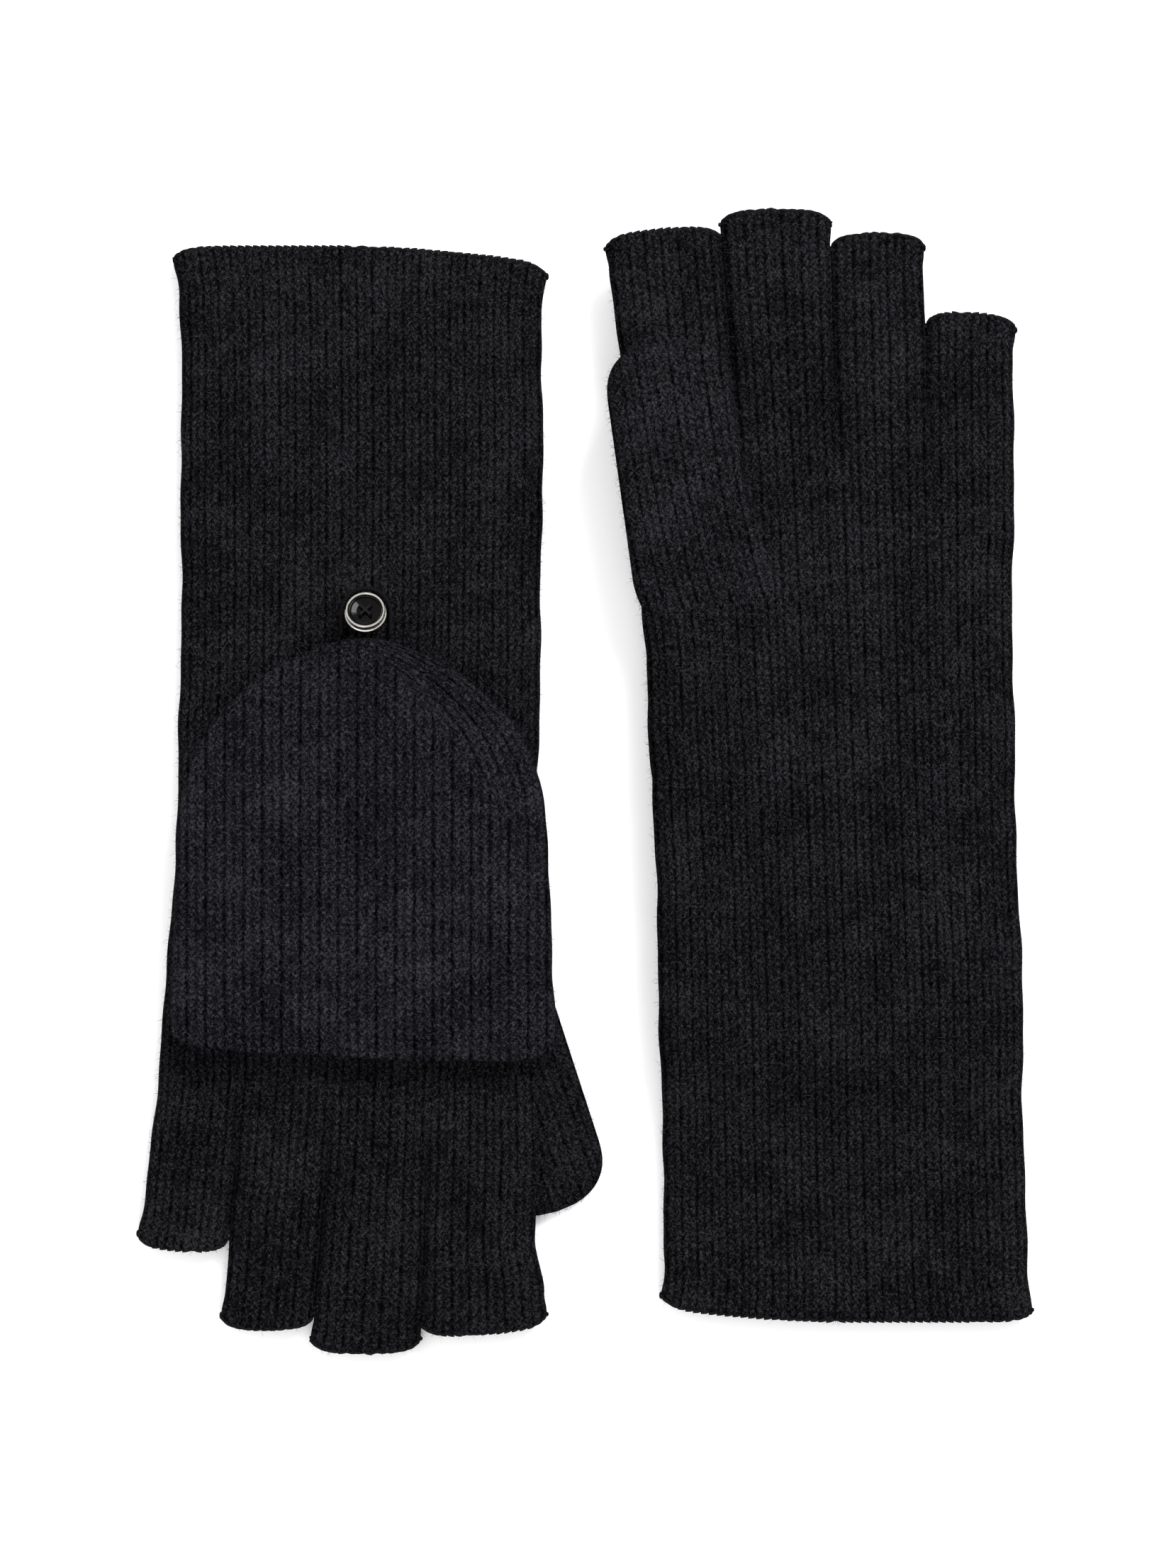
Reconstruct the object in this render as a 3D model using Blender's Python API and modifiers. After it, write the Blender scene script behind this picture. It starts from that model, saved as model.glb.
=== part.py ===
"""A pair of convertible flip-top mittens: two long knitted gloves with open half fingers, each
with a mitten cap that folds back over the hand and is held by a loop on a four-hole button.

Each glove is modelled in its own frame: the finger tips point to +Y, the palm lies on z = 0 and
the back of the hand faces +Z. The thumb is at negative u; u runs across the hand towards the
little finger and becomes +X on the right glove and -X on the left one. The right glove is then
turned half round about Z, palm down. The left glove is turned over about Y, palm up, so that it
lies on its own cap.
"""

import math
from dataclasses import dataclass

import bmesh
import bpy
from mathutils import Vector

MM = 0.001

# Fabric and running gaps
WALL = 1.8 * MM              # thickness of one layer of knit
GAP = 0.3 * MM               # gap left between neighbouring pieces

# Hand and cuff: one flattened tube
HAND_THICK = 9.6 * MM        # both layers and the air between them
CUFF_END = -136.5 * MM
CUFF_FLARE = 10.5 * MM       # length over which the cuff's edge flares
KNUCKLE_END = 100.0 * MM     # where the hand stops and the fingers start
HAND_STEPS = 21
LEAN_LENGTH = 133.0 * MM     # distance over which a glove's sideways lean is stated

# Fingers: width at the knuckles, length, and how far each side splays by the open end
FINGERS = {
    "index": (28.35 * MM, 39.8 * MM, -1.5 * MM, -1.75 * MM),
    "middle": (25.6 * MM, 44.8 * MM, -1.1 * MM, 0.55 * MM),
    "ring": (23.4 * MM, 38.8 * MM, 1.35 * MM, 0.45 * MM),
    "little": (22.25 * MM, 18.5 * MM, 1.25 * MM, 0.55 * MM),
}
FINGER_STEPS = 5
KNUCKLE_HALF_WIDTH = sum(width for width, *_ in FINGERS.values()) / 2.0
HAND_OUTLINE = (             # (distance along the hand, half of its width)
    (CUFF_END, 47.8 * MM),
    (CUFF_END + CUFF_FLARE, 46.4 * MM),
    (0.0, 46.0 * MM),
    (35.0 * MM, 46.8 * MM),
    (70.0 * MM, 48.3 * MM),
    (KNUCKLE_END, KNUCKLE_HALF_WIDTH),
)

# Thumb: a closed tube, measured along its own line from its root
THUMB_ROOT_Y = 46.0 * MM
THUMB_BACK = 8.0 * MM        # how far it starts behind its root
THUMB_LENGTH = 66.0 * MM
THUMB_HALF_WIDTH = 15.7 * MM
THUMB_TIP_ROUND = 15.0 * MM
THUMB_ROOT_ROUND = 12.0 * MM
THUMB_STEPS = 12
THROAT_HALF_WIDTH = 9.0 * MM
THROAT_START = 0.0 * MM
THROAT_END = 17.0 * MM
PRESS_MARGIN = 7.0 * MM      # palm lifted this far past the thumb's sides
PRESS_TIP_MARGIN = 3.0 * MM  # and this far past its tip
PRESS_FALL = 12.0 * MM       # and let down over this distance
PRESS_TIP_FALL = 8.0 * MM

# Cap: a pocket with its mouth at the knuckles, folded back towards the cuff
CAP_LIFT = 1.4 * MM          # height of the cap over the back of the hand
CAP_THICK = 8.4 * MM
CAP_LENGTH = 106.0 * MM
CAP_HALF_WIDTH = 46.5 * MM
CAP_MOUTH_HALF_WIDTH = 49.4 * MM
CAP_ROUND_LENGTH = 46.0 * MM
CAP_TIP_BLUNT = 1.3 * MM
CAP_TIP_POWER = 0.62
CAP_TIP_RISE = 26.0 * MM     # distance over which the cap grows to its full thickness
CAP_TIP_DROP = 0.9 * MM
CAP_U = -1.8 * MM
CAP_STEPS = 15
HINGE_TO_KNUCKLES = 31.0 * MM
HINGE_TO_MOUTH = 0.6 * MM
HINGE_Y = KNUCKLE_END - HINGE_TO_KNUCKLES
CAP_TIP_Y = HINGE_Y - HINGE_TO_MOUTH - CAP_LENGTH

# Seam strip along the knuckles, which the cap's back layer is linked to
SEAM_WIDTH = 6.0 * MM
SEAM_THICK = 0.8 * MM
SEAM_INSET = 5.0 * MM        # seam ends inside the cap's edges by this much

# Button, in its own frame: z along its stem from the face of the knit
BUTTON_U = -2.4 * MM
BUTTON_REACH = 4.4 * MM      # from the cap's tip to the foot of the stem
BUTTON_Y = CAP_TIP_Y - BUTTON_REACH
BUTTON_TILT = math.radians(25.0)
BUTTON_RADIUS = 5.05 * MM
BUTTON_FLANGE = BUTTON_RADIUS + 0.25 * MM
BUTTON_HEIGHT = 2.6 * MM
BUTTON_CLEARANCE = 0.39 * MM  # from the lowest edge of the tilted button to the knit
RIM_WIDTH = 0.6 * MM
RIM_FLOOR = 0.8 * MM
RIM_EDGE = 0.15 * MM
INSERT_THICK = 1.1 * MM
INSERT_DISH = 0.45 * MM
HOLE_OFFSET = 1.15 * MM
THREAD_RADIUS = 0.35 * MM
HOLE_RADIUS = THREAD_RADIUS + GAP
STEM_RADIUS = math.sqrt(2.0) * HOLE_OFFSET + THREAD_RADIUS + 0.12 * MM
RIM_BORE = STEM_RADIUS + 0.5 * MM
BUTTON_UNDERSIDE = (
    (BUTTON_FLANGE * math.sin(BUTTON_TILT) + BUTTON_CLEARANCE) / math.cos(BUTTON_TILT)
)
BUTTON_TOP = BUTTON_UNDERSIDE + BUTTON_HEIGHT
STEM_START = (STEM_RADIUS * math.sin(BUTTON_TILT) + GAP) / math.cos(BUTTON_TILT)
BUTTON_SEGMENTS = 32

# Loop on the tip of the cap
LOOP_CORD = 0.6 * MM         # radius of the cord
LOOP_CLEARANCE = 0.4 * MM    # between the loop and the button
LOOP_END_GAP = 0.4 * MM
LOOP_LENGTH = (              # from the loop's pivot to the inside of its far end
    BUTTON_REACH - LOOP_END_GAP - LOOP_CORD
    + BUTTON_TOP * math.sin(BUTTON_TILT) + BUTTON_RADIUS * math.cos(BUTTON_TILT)
    + LOOP_CLEARANCE
)
LOOP_ARC_POINTS = 13

# Where the left glove's cuff comes down to the floor, past the loop
SAG_START = BUTTON_Y - 10.0 * MM
SAG_LENGTH = 45.0 * MM

# Sections
FLAT_SEGMENTS = 14
ARC_SEGMENTS = 6
CUT_OVERRUN = 3.0 * MM

COLOURS = {                  # linear colour, roughness, metallic
    "knit": ((0.014, 0.014, 0.017, 1.0), 0.95, 0.0),
    "cap_knit": ((0.017, 0.017, 0.021, 1.0), 0.95, 0.0),
    "seam_yarn": ((0.010, 0.010, 0.012, 1.0), 0.95, 0.0),
    "silver_rim": ((0.75, 0.74, 0.72, 1.0), 0.18, 1.0),
    "black_insert": ((0.012, 0.011, 0.012, 1.0), 0.12, 0.0),
    "thread": ((0.012, 0.012, 0.014, 1.0), 0.8, 0.0),
    "loop_cord": ((0.012, 0.012, 0.014, 1.0), 0.9, 0.0),
}


@dataclass(frozen=True)
class Glove:
    """How one glove of the pair differs from the other.

    side is +1 for the right hand and -1 for the left. lean and bow bend its middle line
    sideways. The thumb's palm-side face is at thumb_top; press lifts the palm over a thumb that
    is pressed flat under it, and sag lets the cuff down to the floor.
    """

    name: str
    side: int
    place: tuple
    turn: tuple
    lean: float
    bow: float
    thumb_root_u: float
    thumb_angle: float
    thumb_thick: float
    thumb_top: float
    press: float
    sag: float


RIGHT_THUMB_THICK = 4.8 * MM
LEFT_THUMB_THICK = 8.4 * MM
LEFT_HEIGHT = HAND_THICK + CAP_LIFT + CAP_THICK   # palm of the left glove over the floor

RIGHT = Glove(
    name="right", side=1, place=(-59.0 * MM, 0.0, 0.0), turn=(0.0, 0.0, math.pi),
    lean=3.35 * MM, bow=2.65 * MM, thumb_root_u=-30.5 * MM, thumb_angle=math.radians(18.0),
    thumb_thick=RIGHT_THUMB_THICK, thumb_top=RIGHT_THUMB_THICK,
    press=RIGHT_THUMB_THICK + GAP, sag=0.0,
)
LEFT = Glove(
    name="left", side=-1, place=(62.4 * MM, 0.0, LEFT_HEIGHT), turn=(0.0, math.pi, 0.0),
    lean=-4.7 * MM, bow=-0.7 * MM, thumb_root_u=-34.5 * MM, thumb_angle=math.radians(8.0),
    thumb_thick=LEFT_THUMB_THICK, thumb_top=-GAP,
    press=0.0, sag=CAP_LIFT + CAP_THICK,
)


def smoothstep(start, end, value):
    """0 before start, 1 after end, and an even curve between them."""
    t = min(1.0, max(0.0, (value - start) / (end - start)))
    return t * t * (3.0 - 2.0 * t)


def interpolate(table, value):
    """Straight-line value from a table of (position, value) pairs in rising order."""
    for (a, low), (b, high) in zip(table, table[1:]):
        if value <= b:
            return low + (high - low) * (value - a) / (b - a)
    return table[-1][1]


def steps(start, end, count):
    """count evenly spaced values from start to end."""
    return [start + (end - start) * i / (count - 1) for i in range(count)]


def middle(glove, y):
    """Sideways place of the hand's middle line at y."""
    t = y / LEAN_LENGTH
    return glove.lean * t + glove.bow * t * t


def thumb_point(glove, along, across):
    """(u, y) of a place given along the thumb and across it towards the palm's middle."""
    s, c = math.sin(glove.thumb_angle), math.cos(glove.thumb_angle)
    return glove.thumb_root_u - s * along + c * across, THUMB_ROOT_Y + c * along + s * across


def palm_lift(glove, u, y):
    """How far the palm is lifted at (u, y) by the thumb under it."""
    du, dy = u - glove.thumb_root_u, y - THUMB_ROOT_Y
    s, c = math.sin(glove.thumb_angle), math.cos(glove.thumb_angle)
    along, across = c * dy - s * du, c * du + s * dy
    inner = THUMB_HALF_WIDTH + PRESS_MARGIN
    tip = THUMB_LENGTH + PRESS_TIP_MARGIN
    root = -THUMB_BACK - PRESS_MARGIN
    lift = glove.press * (1.0 - smoothstep(inner, inner + PRESS_FALL, across))
    lift *= smoothstep(root - PRESS_FALL, root, along)
    return lift * (1.0 - smoothstep(tip, tip + PRESS_TIP_FALL, along))


def drape(glove, u, y, z, layer):
    """Height of a point of the hand or a finger after the thumb and the floor have shaped it.

    layer is the distance of the point's surface from the outside of the tube, so that the
    inner surface keeps a full wall over the lifted palm.
    """
    low, high = layer, HAND_THICK - layer
    lifted = max(low, min(palm_lift(glove, u, y) + layer, high - GAP))
    share = (z - low) / (high - low)
    height = lifted + share * (high - lifted)
    return height + glove.sag * smoothstep(SAG_START, SAG_START - SAG_LENGTH, y)


def section(centre, half_width, low, high):
    """Points (across, z) round a flat-sided tube with half-round edges."""
    radius = min((high - low) / 2.0, half_width * 0.9)
    flat = half_width - radius
    mid, half = (low + high) / 2.0, (high - low) / 2.0
    points = [(centre + a, low) for a in steps(-flat, flat, FLAT_SEGMENTS + 1)]
    for i in range(1, ARC_SEGMENTS):
        a = math.pi * (i / ARC_SEGMENTS - 0.5)
        points.append((centre + flat + radius * math.cos(a), mid + half * math.sin(a)))
    points += [(centre - a, high) for a in steps(-flat, flat, FLAT_SEGMENTS + 1)]
    for i in range(1, ARC_SEGMENTS):
        a = math.pi * (i / ARC_SEGMENTS + 0.5)
        points.append((centre - flat + radius * math.cos(a), mid + half * math.sin(a)))
    return points


def material(slot):
    """The named Principled material, made once."""
    found = bpy.data.materials.get(slot)
    if found:
        return found
    colour, roughness, metallic = COLOURS[slot]
    made = bpy.data.materials.new(slot)
    made.use_nodes = True
    shader = made.node_tree.nodes["Principled BSDF"]
    shader.inputs["Base Color"].default_value = colour
    shader.inputs["Roughness"].default_value = roughness
    shader.inputs["Metallic"].default_value = metallic
    return made


def link(obj, collection, slot=None):
    """Put a new object in its collection, with its material and smooth shading."""
    for old in list(obj.users_collection):
        old.objects.unlink(obj)
    collection.objects.link(obj)
    if slot:
        obj.data.materials.clear()
        obj.data.materials.append(material(slot))
    if obj.type == "MESH":
        obj.data.shade_smooth()
        obj.data.set_sharp_from_angle(angle=math.radians(40.0))
    return obj


def loft(name, rings):
    """A closed mesh object through rings of the same number of points."""
    bm = bmesh.new()
    loops = [[bm.verts.new(p) for p in ring] for ring in rings]
    for near, far in zip(loops, loops[1:]):
        for i in range(len(near)):
            j = (i + 1) % len(near)
            bm.faces.new((near[i], near[j], far[j], far[i]))
    bm.faces.new(loops[0])
    bm.faces.new(loops[-1])
    bmesh.ops.recalc_face_normals(bm, faces=bm.faces)
    mesh = bpy.data.meshes.new(name)
    bm.to_mesh(mesh)
    bm.free()
    return bpy.data.objects.new(name, mesh)


def add_cutter(obj, parent, collections):
    """Make obj a cutter that the build leaves out."""
    link(obj, collections["cutters"])
    obj.hide_render = True
    obj.display_type = "WIRE"
    obj.parent = parent
    return obj


def boolean(obj, other, operation="DIFFERENCE"):
    """Cut or join obj with another object."""
    cut = obj.modifiers.new(other.name, "BOOLEAN")
    cut.operation = operation
    cut.solver = "EXACT"
    cut.object = other


def tube_rings(glove, stations, edges, layer):
    """Rings of a draped tube: edges gives its two sides at each y, layer its inset."""
    rings = []
    for y in stations:
        left, right = edges(y)
        centre, half = (left + right) / 2.0, (right - left) / 2.0 - layer
        ring = [
            Vector((glove.side * u, y, drape(glove, u, y, z, layer)))
            for u, z in section(centre, half, layer, HAND_THICK - layer)
        ]
        rings.append(ring)
    return rings


def sleeve(glove, name, start, end, count, edges, collections, root):
    """A tube of knit that is open at both ends."""
    full = f"{glove.name}_{name}"
    outer = loft(full, tube_rings(glove, steps(start, end, count), edges, 0.0))
    link(outer, collections["parts"], "knit")
    outer.parent = root
    long_way = [start - CUT_OVERRUN, *steps(start, end, count), end + CUT_OVERRUN]
    inner = loft(f"{full}_hollow", tube_rings(glove, long_way, edges, WALL))
    boolean(outer, add_cutter(inner, root, collections))
    return outer


def hand_edges(glove, y):
    """The hand's two sides at y."""
    half = interpolate(HAND_OUTLINE, max(CUFF_END, y))
    return middle(glove, y) - half, middle(glove, y) + half


def finger_edges(glove, name, y):
    """A finger's two sides at y, splayed evenly from the knuckles to its open end."""
    order = list(FINGERS)
    left = sum(FINGERS[other][0] for other in order[:order.index(name)]) - KNUCKLE_HALF_WIDTH
    width, length, left_splay, right_splay = FINGERS[name]
    share = (y - KNUCKLE_END) / length
    shift = middle(glove, y)
    return (
        left + GAP / 2.0 + left_splay * share + shift,
        left + width - GAP / 2.0 + right_splay * share + shift,
    )


def thumb_rings(glove, start, end, inset, count):
    """Rings of the thumb, rounded in at its root and at its tip."""
    rings = []
    full_end = THUMB_LENGTH - inset
    for along in steps(start, end, count):
        tip = min(1.0, (full_end + inset * 0.5 - along) / THUMB_TIP_ROUND)
        root = min(1.0, (along + THUMB_BACK + WALL) / THUMB_ROOT_ROUND)
        narrow = math.sqrt(max(0.04, 1.0 - (1.0 - tip) ** 2))
        thin = min(narrow, math.sqrt(max(0.04, 1.0 - (1.0 - root) ** 2)))
        half = THUMB_HALF_WIDTH * (0.3 + 0.7 * narrow) * (0.8 + 0.2 * thin) - inset
        depth = glove.thumb_thick * (0.35 + 0.65 * thin) - 2.0 * inset
        high = glove.thumb_top - inset
        ring = []
        for across, z in section(0.0, half, high - max(depth, GAP), high):
            u, y = thumb_point(glove, along, across)
            ring.append(Vector((glove.side * u, y, z)))
        rings.append(ring)
    return rings


def throat(glove, collections, root):
    """The cutter for the passage from the palm into the thumb."""
    low = glove.thumb_top - glove.thumb_thick / 2.0
    high = glove.press + WALL + GAP if glove.press else WALL + GAP
    radius = (THROAT_END - THROAT_START) / 2.0
    middle_along = THROAT_START + radius
    rings = []
    for z in (low, high):
        ring = []
        for i in range(16):
            a = 2.0 * math.pi * i / 16
            u, y = thumb_point(
                glove, middle_along + radius * math.sin(a), THROAT_HALF_WIDTH * math.cos(a)
            )
            ring.append(Vector((glove.side * u, y, z)))
        rings.append(ring)
    return add_cutter(loft(f"{glove.name}_thumb_throat", rings), root, collections)


def make_thumb(glove, passage, collections, root):
    """The closed thumb, open only through the passage from the palm."""
    name = f"{glove.name}_thumb"
    outer = loft(name, thumb_rings(glove, -THUMB_BACK, THUMB_LENGTH, 0.0, THUMB_STEPS))
    link(outer, collections["parts"], "knit")
    outer.parent = root
    start, end = THROAT_START + GAP, THUMB_LENGTH - 2.0 * WALL
    inner = loft(f"{name}_hollow", thumb_rings(glove, start, end, WALL, THUMB_STEPS))
    boolean(outer, add_cutter(inner, root, collections))
    boolean(outer, passage)
    return outer


def cap_rings(glove, start, end, inset, count):
    """Rings of the cap from near its tip to its mouth, distances measured from the tip."""
    rings = []
    for along in steps(start, end, count):
        reach = min(along + CAP_TIP_BLUNT, CAP_ROUND_LENGTH) / CAP_ROUND_LENGTH
        half = CAP_HALF_WIDTH * (1.0 - (1.0 - reach) ** 2) ** CAP_TIP_POWER
        widen = max(0.0, along - CAP_ROUND_LENGTH) / (CAP_LENGTH - CAP_ROUND_LENGTH)
        half += (CAP_MOUTH_HALF_WIDTH - CAP_HALF_WIDTH) * widen
        grow = min(1.0, (along + CAP_TIP_BLUNT) / CAP_TIP_RISE)
        depth = CAP_THICK * math.sqrt(1.0 - (1.0 - grow) ** 2)
        low = HAND_THICK + CAP_LIFT - CAP_TIP_DROP * (1.0 - smoothstep(0.0, CAP_TIP_RISE, along))
        y = CAP_TIP_Y + along
        points = section(CAP_U, half - inset, low + inset, low + depth - inset)
        rings.append([Vector((glove.side * u, y, z)) for u, z in points])
    return rings


def make_cap(glove, collections, hinge):
    """The mitten cap, a pocket that is open at the knuckles."""
    name = f"{glove.name}_cap"
    outer = loft(name, cap_rings(glove, 0.0, CAP_LENGTH, 0.0, CAP_STEPS))
    link(outer, collections["parts"], "cap_knit")
    start, end = 3.0 * WALL, CAP_LENGTH + CUT_OVERRUN
    inner = loft(f"{name}_hollow", cap_rings(glove, start, end, WALL, CAP_STEPS))
    for obj in (outer, add_cutter(inner, hinge, collections)):
        obj.parent = hinge
        obj.location = -hinge.location
    boolean(outer, inner)
    return outer


def make_seam(glove, collections, root):
    """The linked seam that joins the cap's back layer to the knuckles."""
    length = 2.0 * (CAP_MOUTH_HALF_WIDTH - SEAM_INSET)
    bpy.ops.mesh.primitive_cube_add(size=1.0)
    seam = bpy.context.object
    seam.name = f"{glove.name}_knuckle_seam"
    seam.data.name = seam.name
    for vertex in seam.data.vertices:
        vertex.co = Vector(
            (vertex.co.x * length, vertex.co.y * SEAM_WIDTH, vertex.co.z * SEAM_THICK)
        )
    link(seam, collections["parts"], "seam_yarn")
    seam.parent = root
    seam.location = (glove.side * CAP_U, HINGE_Y, HAND_THICK + GAP + SEAM_THICK / 2.0)
    bevel = seam.modifiers.new("edge", "BEVEL")
    bevel.width = SEAM_THICK * 0.35
    bevel.segments = 2
    return seam


def turned(name, profile, closed):
    """A turned piece: a profile of (radius, z) points spun about Z with a Screw modifier."""
    bm = bmesh.new()
    verts = [bm.verts.new((radius, 0.0, z)) for radius, z in profile]
    for a, b in zip(verts, verts[1:]):
        bm.edges.new((a, b))
    if closed:
        bm.edges.new((verts[-1], verts[0]))
    mesh = bpy.data.meshes.new(name)
    bm.to_mesh(mesh)
    bm.free()
    obj = bpy.data.objects.new(name, mesh)
    screw = obj.modifiers.new("turn", "SCREW")
    screw.steps = BUTTON_SEGMENTS
    screw.render_steps = BUTTON_SEGMENTS
    screw.use_merge_vertices = True
    screw.merge_threshold = 0.00001
    screw.use_normal_calculate = True
    return obj


def make_rim(glove, collections, tilt):
    """The button's metal rim with its flange and its floor under the insert."""
    low, top, edge = BUTTON_UNDERSIDE, BUTTON_TOP, RIM_EDGE
    inside = BUTTON_RADIUS - RIM_WIDTH
    profile = (
        (inside + edge, top),
        (BUTTON_RADIUS - edge, top),
        (BUTTON_RADIUS, top - edge),
        (BUTTON_RADIUS, low + RIM_FLOOR),
        (BUTTON_FLANGE, low + RIM_FLOOR - edge),
        (BUTTON_FLANGE, low + edge),
        (BUTTON_RADIUS, low),
        (RIM_BORE, low),
        (RIM_BORE, low + RIM_FLOOR),
        (inside, low + RIM_FLOOR),
        (inside, top - edge),
    )
    rim = turned(f"{glove.name}_button_rim", profile, True)
    link(rim, collections["parts"], "silver_rim")
    rim.parent = tilt
    return rim


def make_insert(glove, collections, tilt):
    """The dished black insert with its four thread holes."""
    low = BUTTON_UNDERSIDE + RIM_FLOOR + GAP
    radius = BUTTON_RADIUS - RIM_WIDTH - GAP
    top = low + INSERT_THICK
    profile = (
        (0.0, top - INSERT_DISH),
        (radius * 0.55, top - INSERT_DISH * 0.7),
        (radius * 0.85, top),
        (radius, top - INSERT_THICK * 0.3),
        (radius, low),
        (0.0, low),
    )
    insert = turned(f"{glove.name}_button_insert", profile, False)
    link(insert, collections["parts"], "black_insert")
    insert.parent = tilt
    for i, (x, y) in enumerate(hole_places()):
        bpy.ops.mesh.primitive_cylinder_add(
            vertices=12, radius=HOLE_RADIUS, depth=4.0 * INSERT_THICK, location=(x, y, low)
        )
        hole = bpy.context.object
        hole.name = f"{glove.name}_thread_hole_{i + 1}"
        boolean(insert, add_cutter(hole, tilt, collections))
    return insert


def hole_places():
    """Centres of the four thread holes."""
    return [(x * HOLE_OFFSET, y * HOLE_OFFSET) for x in (-1, 1) for y in (-1, 1)]


def make_thread(glove, collections, tilt):
    """The sewing thread: a wound stem, four legs through the holes and a cross on top."""
    insert_low = BUTTON_UNDERSIDE + RIM_FLOOR + GAP
    stem_top = insert_low - GAP
    cross_low = insert_low + INSERT_THICK - INSERT_DISH + GAP
    cross_high = cross_low + 2.0 * THREAD_RADIUS
    bpy.ops.mesh.primitive_cylinder_add(
        vertices=20, radius=STEM_RADIUS, depth=stem_top - STEM_START,
        location=(0.0, 0.0, (stem_top + STEM_START) / 2.0),
    )
    thread = bpy.context.object
    thread.name = f"{glove.name}_button_thread"
    link(thread, collections["parts"], "thread")
    thread.parent = tilt
    leg_low = stem_top - THREAD_RADIUS
    for i, (x, y) in enumerate(hole_places()):
        bpy.ops.mesh.primitive_cylinder_add(
            vertices=10, radius=THREAD_RADIUS, depth=cross_high - leg_low,
            location=(x, y, (cross_high + leg_low) / 2.0),
        )
        leg = bpy.context.object
        leg.name = f"{glove.name}_thread_leg_{i + 1}"
        add_cutter(leg, tilt, collections)
        boolean(thread, leg, "UNION")
    for i, sign in enumerate((-1, 1)):
        bpy.ops.mesh.primitive_cube_add(size=1.0)
        bar = bpy.context.object
        bar.name = f"{glove.name}_thread_bar_{i + 1}"
        length = 2.0 * math.hypot(HOLE_OFFSET, HOLE_OFFSET)
        for vertex in bar.data.vertices:
            vertex.co = Vector((
                vertex.co.x * length,
                vertex.co.y * 1.6 * THREAD_RADIUS,
                vertex.co.z * (cross_high - cross_low) * (0.94 - 0.06 * i),
            ))
        add_cutter(bar, tilt, collections)
        bar.location = (0.0, 0.0, (cross_low + cross_high) / 2.0)
        bar.rotation_euler = (0.0, 0.0, sign * math.pi / 4.0)
        boolean(thread, bar, "UNION")
    return thread


def make_loop(glove, collections, pivot):
    """The cord loop on the cap's tip, which lies round the button."""
    inside = BUTTON_FLANGE + LOOP_CLEARANCE
    radius = inside + LOOP_CORD
    arc_y = -(LOOP_LENGTH - inside)
    points = [(-radius, LOOP_CORD), (-radius, arc_y / 2.0)]
    for i in range(LOOP_ARC_POINTS):
        a = math.pi * (1.0 + i / (LOOP_ARC_POINTS - 1))
        points.append((radius * math.cos(a), arc_y + radius * math.sin(a)))
    points += [(radius, arc_y / 2.0), (radius, LOOP_CORD)]
    name = f"{glove.name}_button_loop"
    curve = bpy.data.curves.new(name, "CURVE")
    curve.dimensions = "3D"
    curve.bevel_depth = LOOP_CORD
    curve.bevel_resolution = 2
    curve.use_fill_caps = True
    spline = curve.splines.new("POLY")
    spline.points.add(len(points) - 1)
    for point, (x, y) in zip(spline.points, points):
        point.co = (x, y, 0.0, 1.0)
    loop = bpy.data.objects.new(name, curve)
    link(loop, collections["parts"], "loop_cord")
    loop.parent = pivot
    return loop


def add_empty(name, location, parent, collections, rotation=(0.0, 0.0, 0.0)):
    """An empty that holds the pieces that turn together."""
    empty = bpy.data.objects.new(name, None)
    empty.empty_display_size = 0.01
    collections["parts"].objects.link(empty)
    empty.location = location
    empty.rotation_euler = rotation
    empty.parent = parent
    return empty


def make_glove(glove, collections):
    """One whole glove, placed in the pair."""
    root = add_empty(f"{glove.name}_glove", glove.place, None, collections, glove.turn)
    passage = throat(glove, collections, root)
    hand = sleeve(
        glove, "hand", CUFF_END, KNUCKLE_END, HAND_STEPS,
        lambda y: hand_edges(glove, y), collections, root,
    )
    boolean(hand, passage)
    for name, (_, length, _, _) in FINGERS.items():
        sleeve(
            glove, f"{name}_finger", KNUCKLE_END + GAP, KNUCKLE_END + length, FINGER_STEPS,
            lambda y, name=name: finger_edges(glove, name, y), collections, root,
        )
    make_thumb(glove, passage, collections, root)
    make_seam(glove, collections, root)

    hinge_z = HAND_THICK + CAP_LIFT + CAP_THICK / 2.0
    hinge = add_empty(
        f"{glove.name}_cap_hinge", Vector((0.0, HINGE_Y, hinge_z)), root, collections
    )
    make_cap(glove, collections, hinge)

    tilt = add_empty(
        f"{glove.name}_button_stem", (glove.side * BUTTON_U, BUTTON_Y, HAND_THICK),
        root, collections, (BUTTON_TILT, 0.0, 0.0),
    )
    make_rim(glove, collections, tilt)
    make_insert(glove, collections, tilt)
    make_thread(glove, collections, tilt)

    pivot_place = Vector((
        glove.side * BUTTON_U,
        CAP_TIP_Y - LOOP_END_GAP - LOOP_CORD,
        HAND_THICK + LOOP_END_GAP + LOOP_CORD,
    ))
    pivot = add_empty(
        f"{glove.name}_loop_pivot", pivot_place - hinge.location, hinge, collections
    )
    make_loop(glove, collections, pivot)


def main():
    """Clear the scene and model the pair."""
    for old in list(bpy.data.objects):
        bpy.data.objects.remove(old, do_unlink=True)
    collections = {
        "parts": bpy.data.collections.new("convertible_mittens"),
        "cutters": bpy.data.collections.new("cutters"),
    }
    for collection in collections.values():
        bpy.context.scene.collection.children.link(collection)
    for glove in (RIGHT, LEFT):
        make_glove(glove, collections)


main()
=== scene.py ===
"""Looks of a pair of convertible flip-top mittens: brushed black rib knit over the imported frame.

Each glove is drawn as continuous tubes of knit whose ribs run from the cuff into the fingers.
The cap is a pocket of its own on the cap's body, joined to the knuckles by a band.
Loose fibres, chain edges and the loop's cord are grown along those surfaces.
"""

import logging
import math
from dataclasses import dataclass, field
from enum import Enum
from typing import Any, Callable

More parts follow.
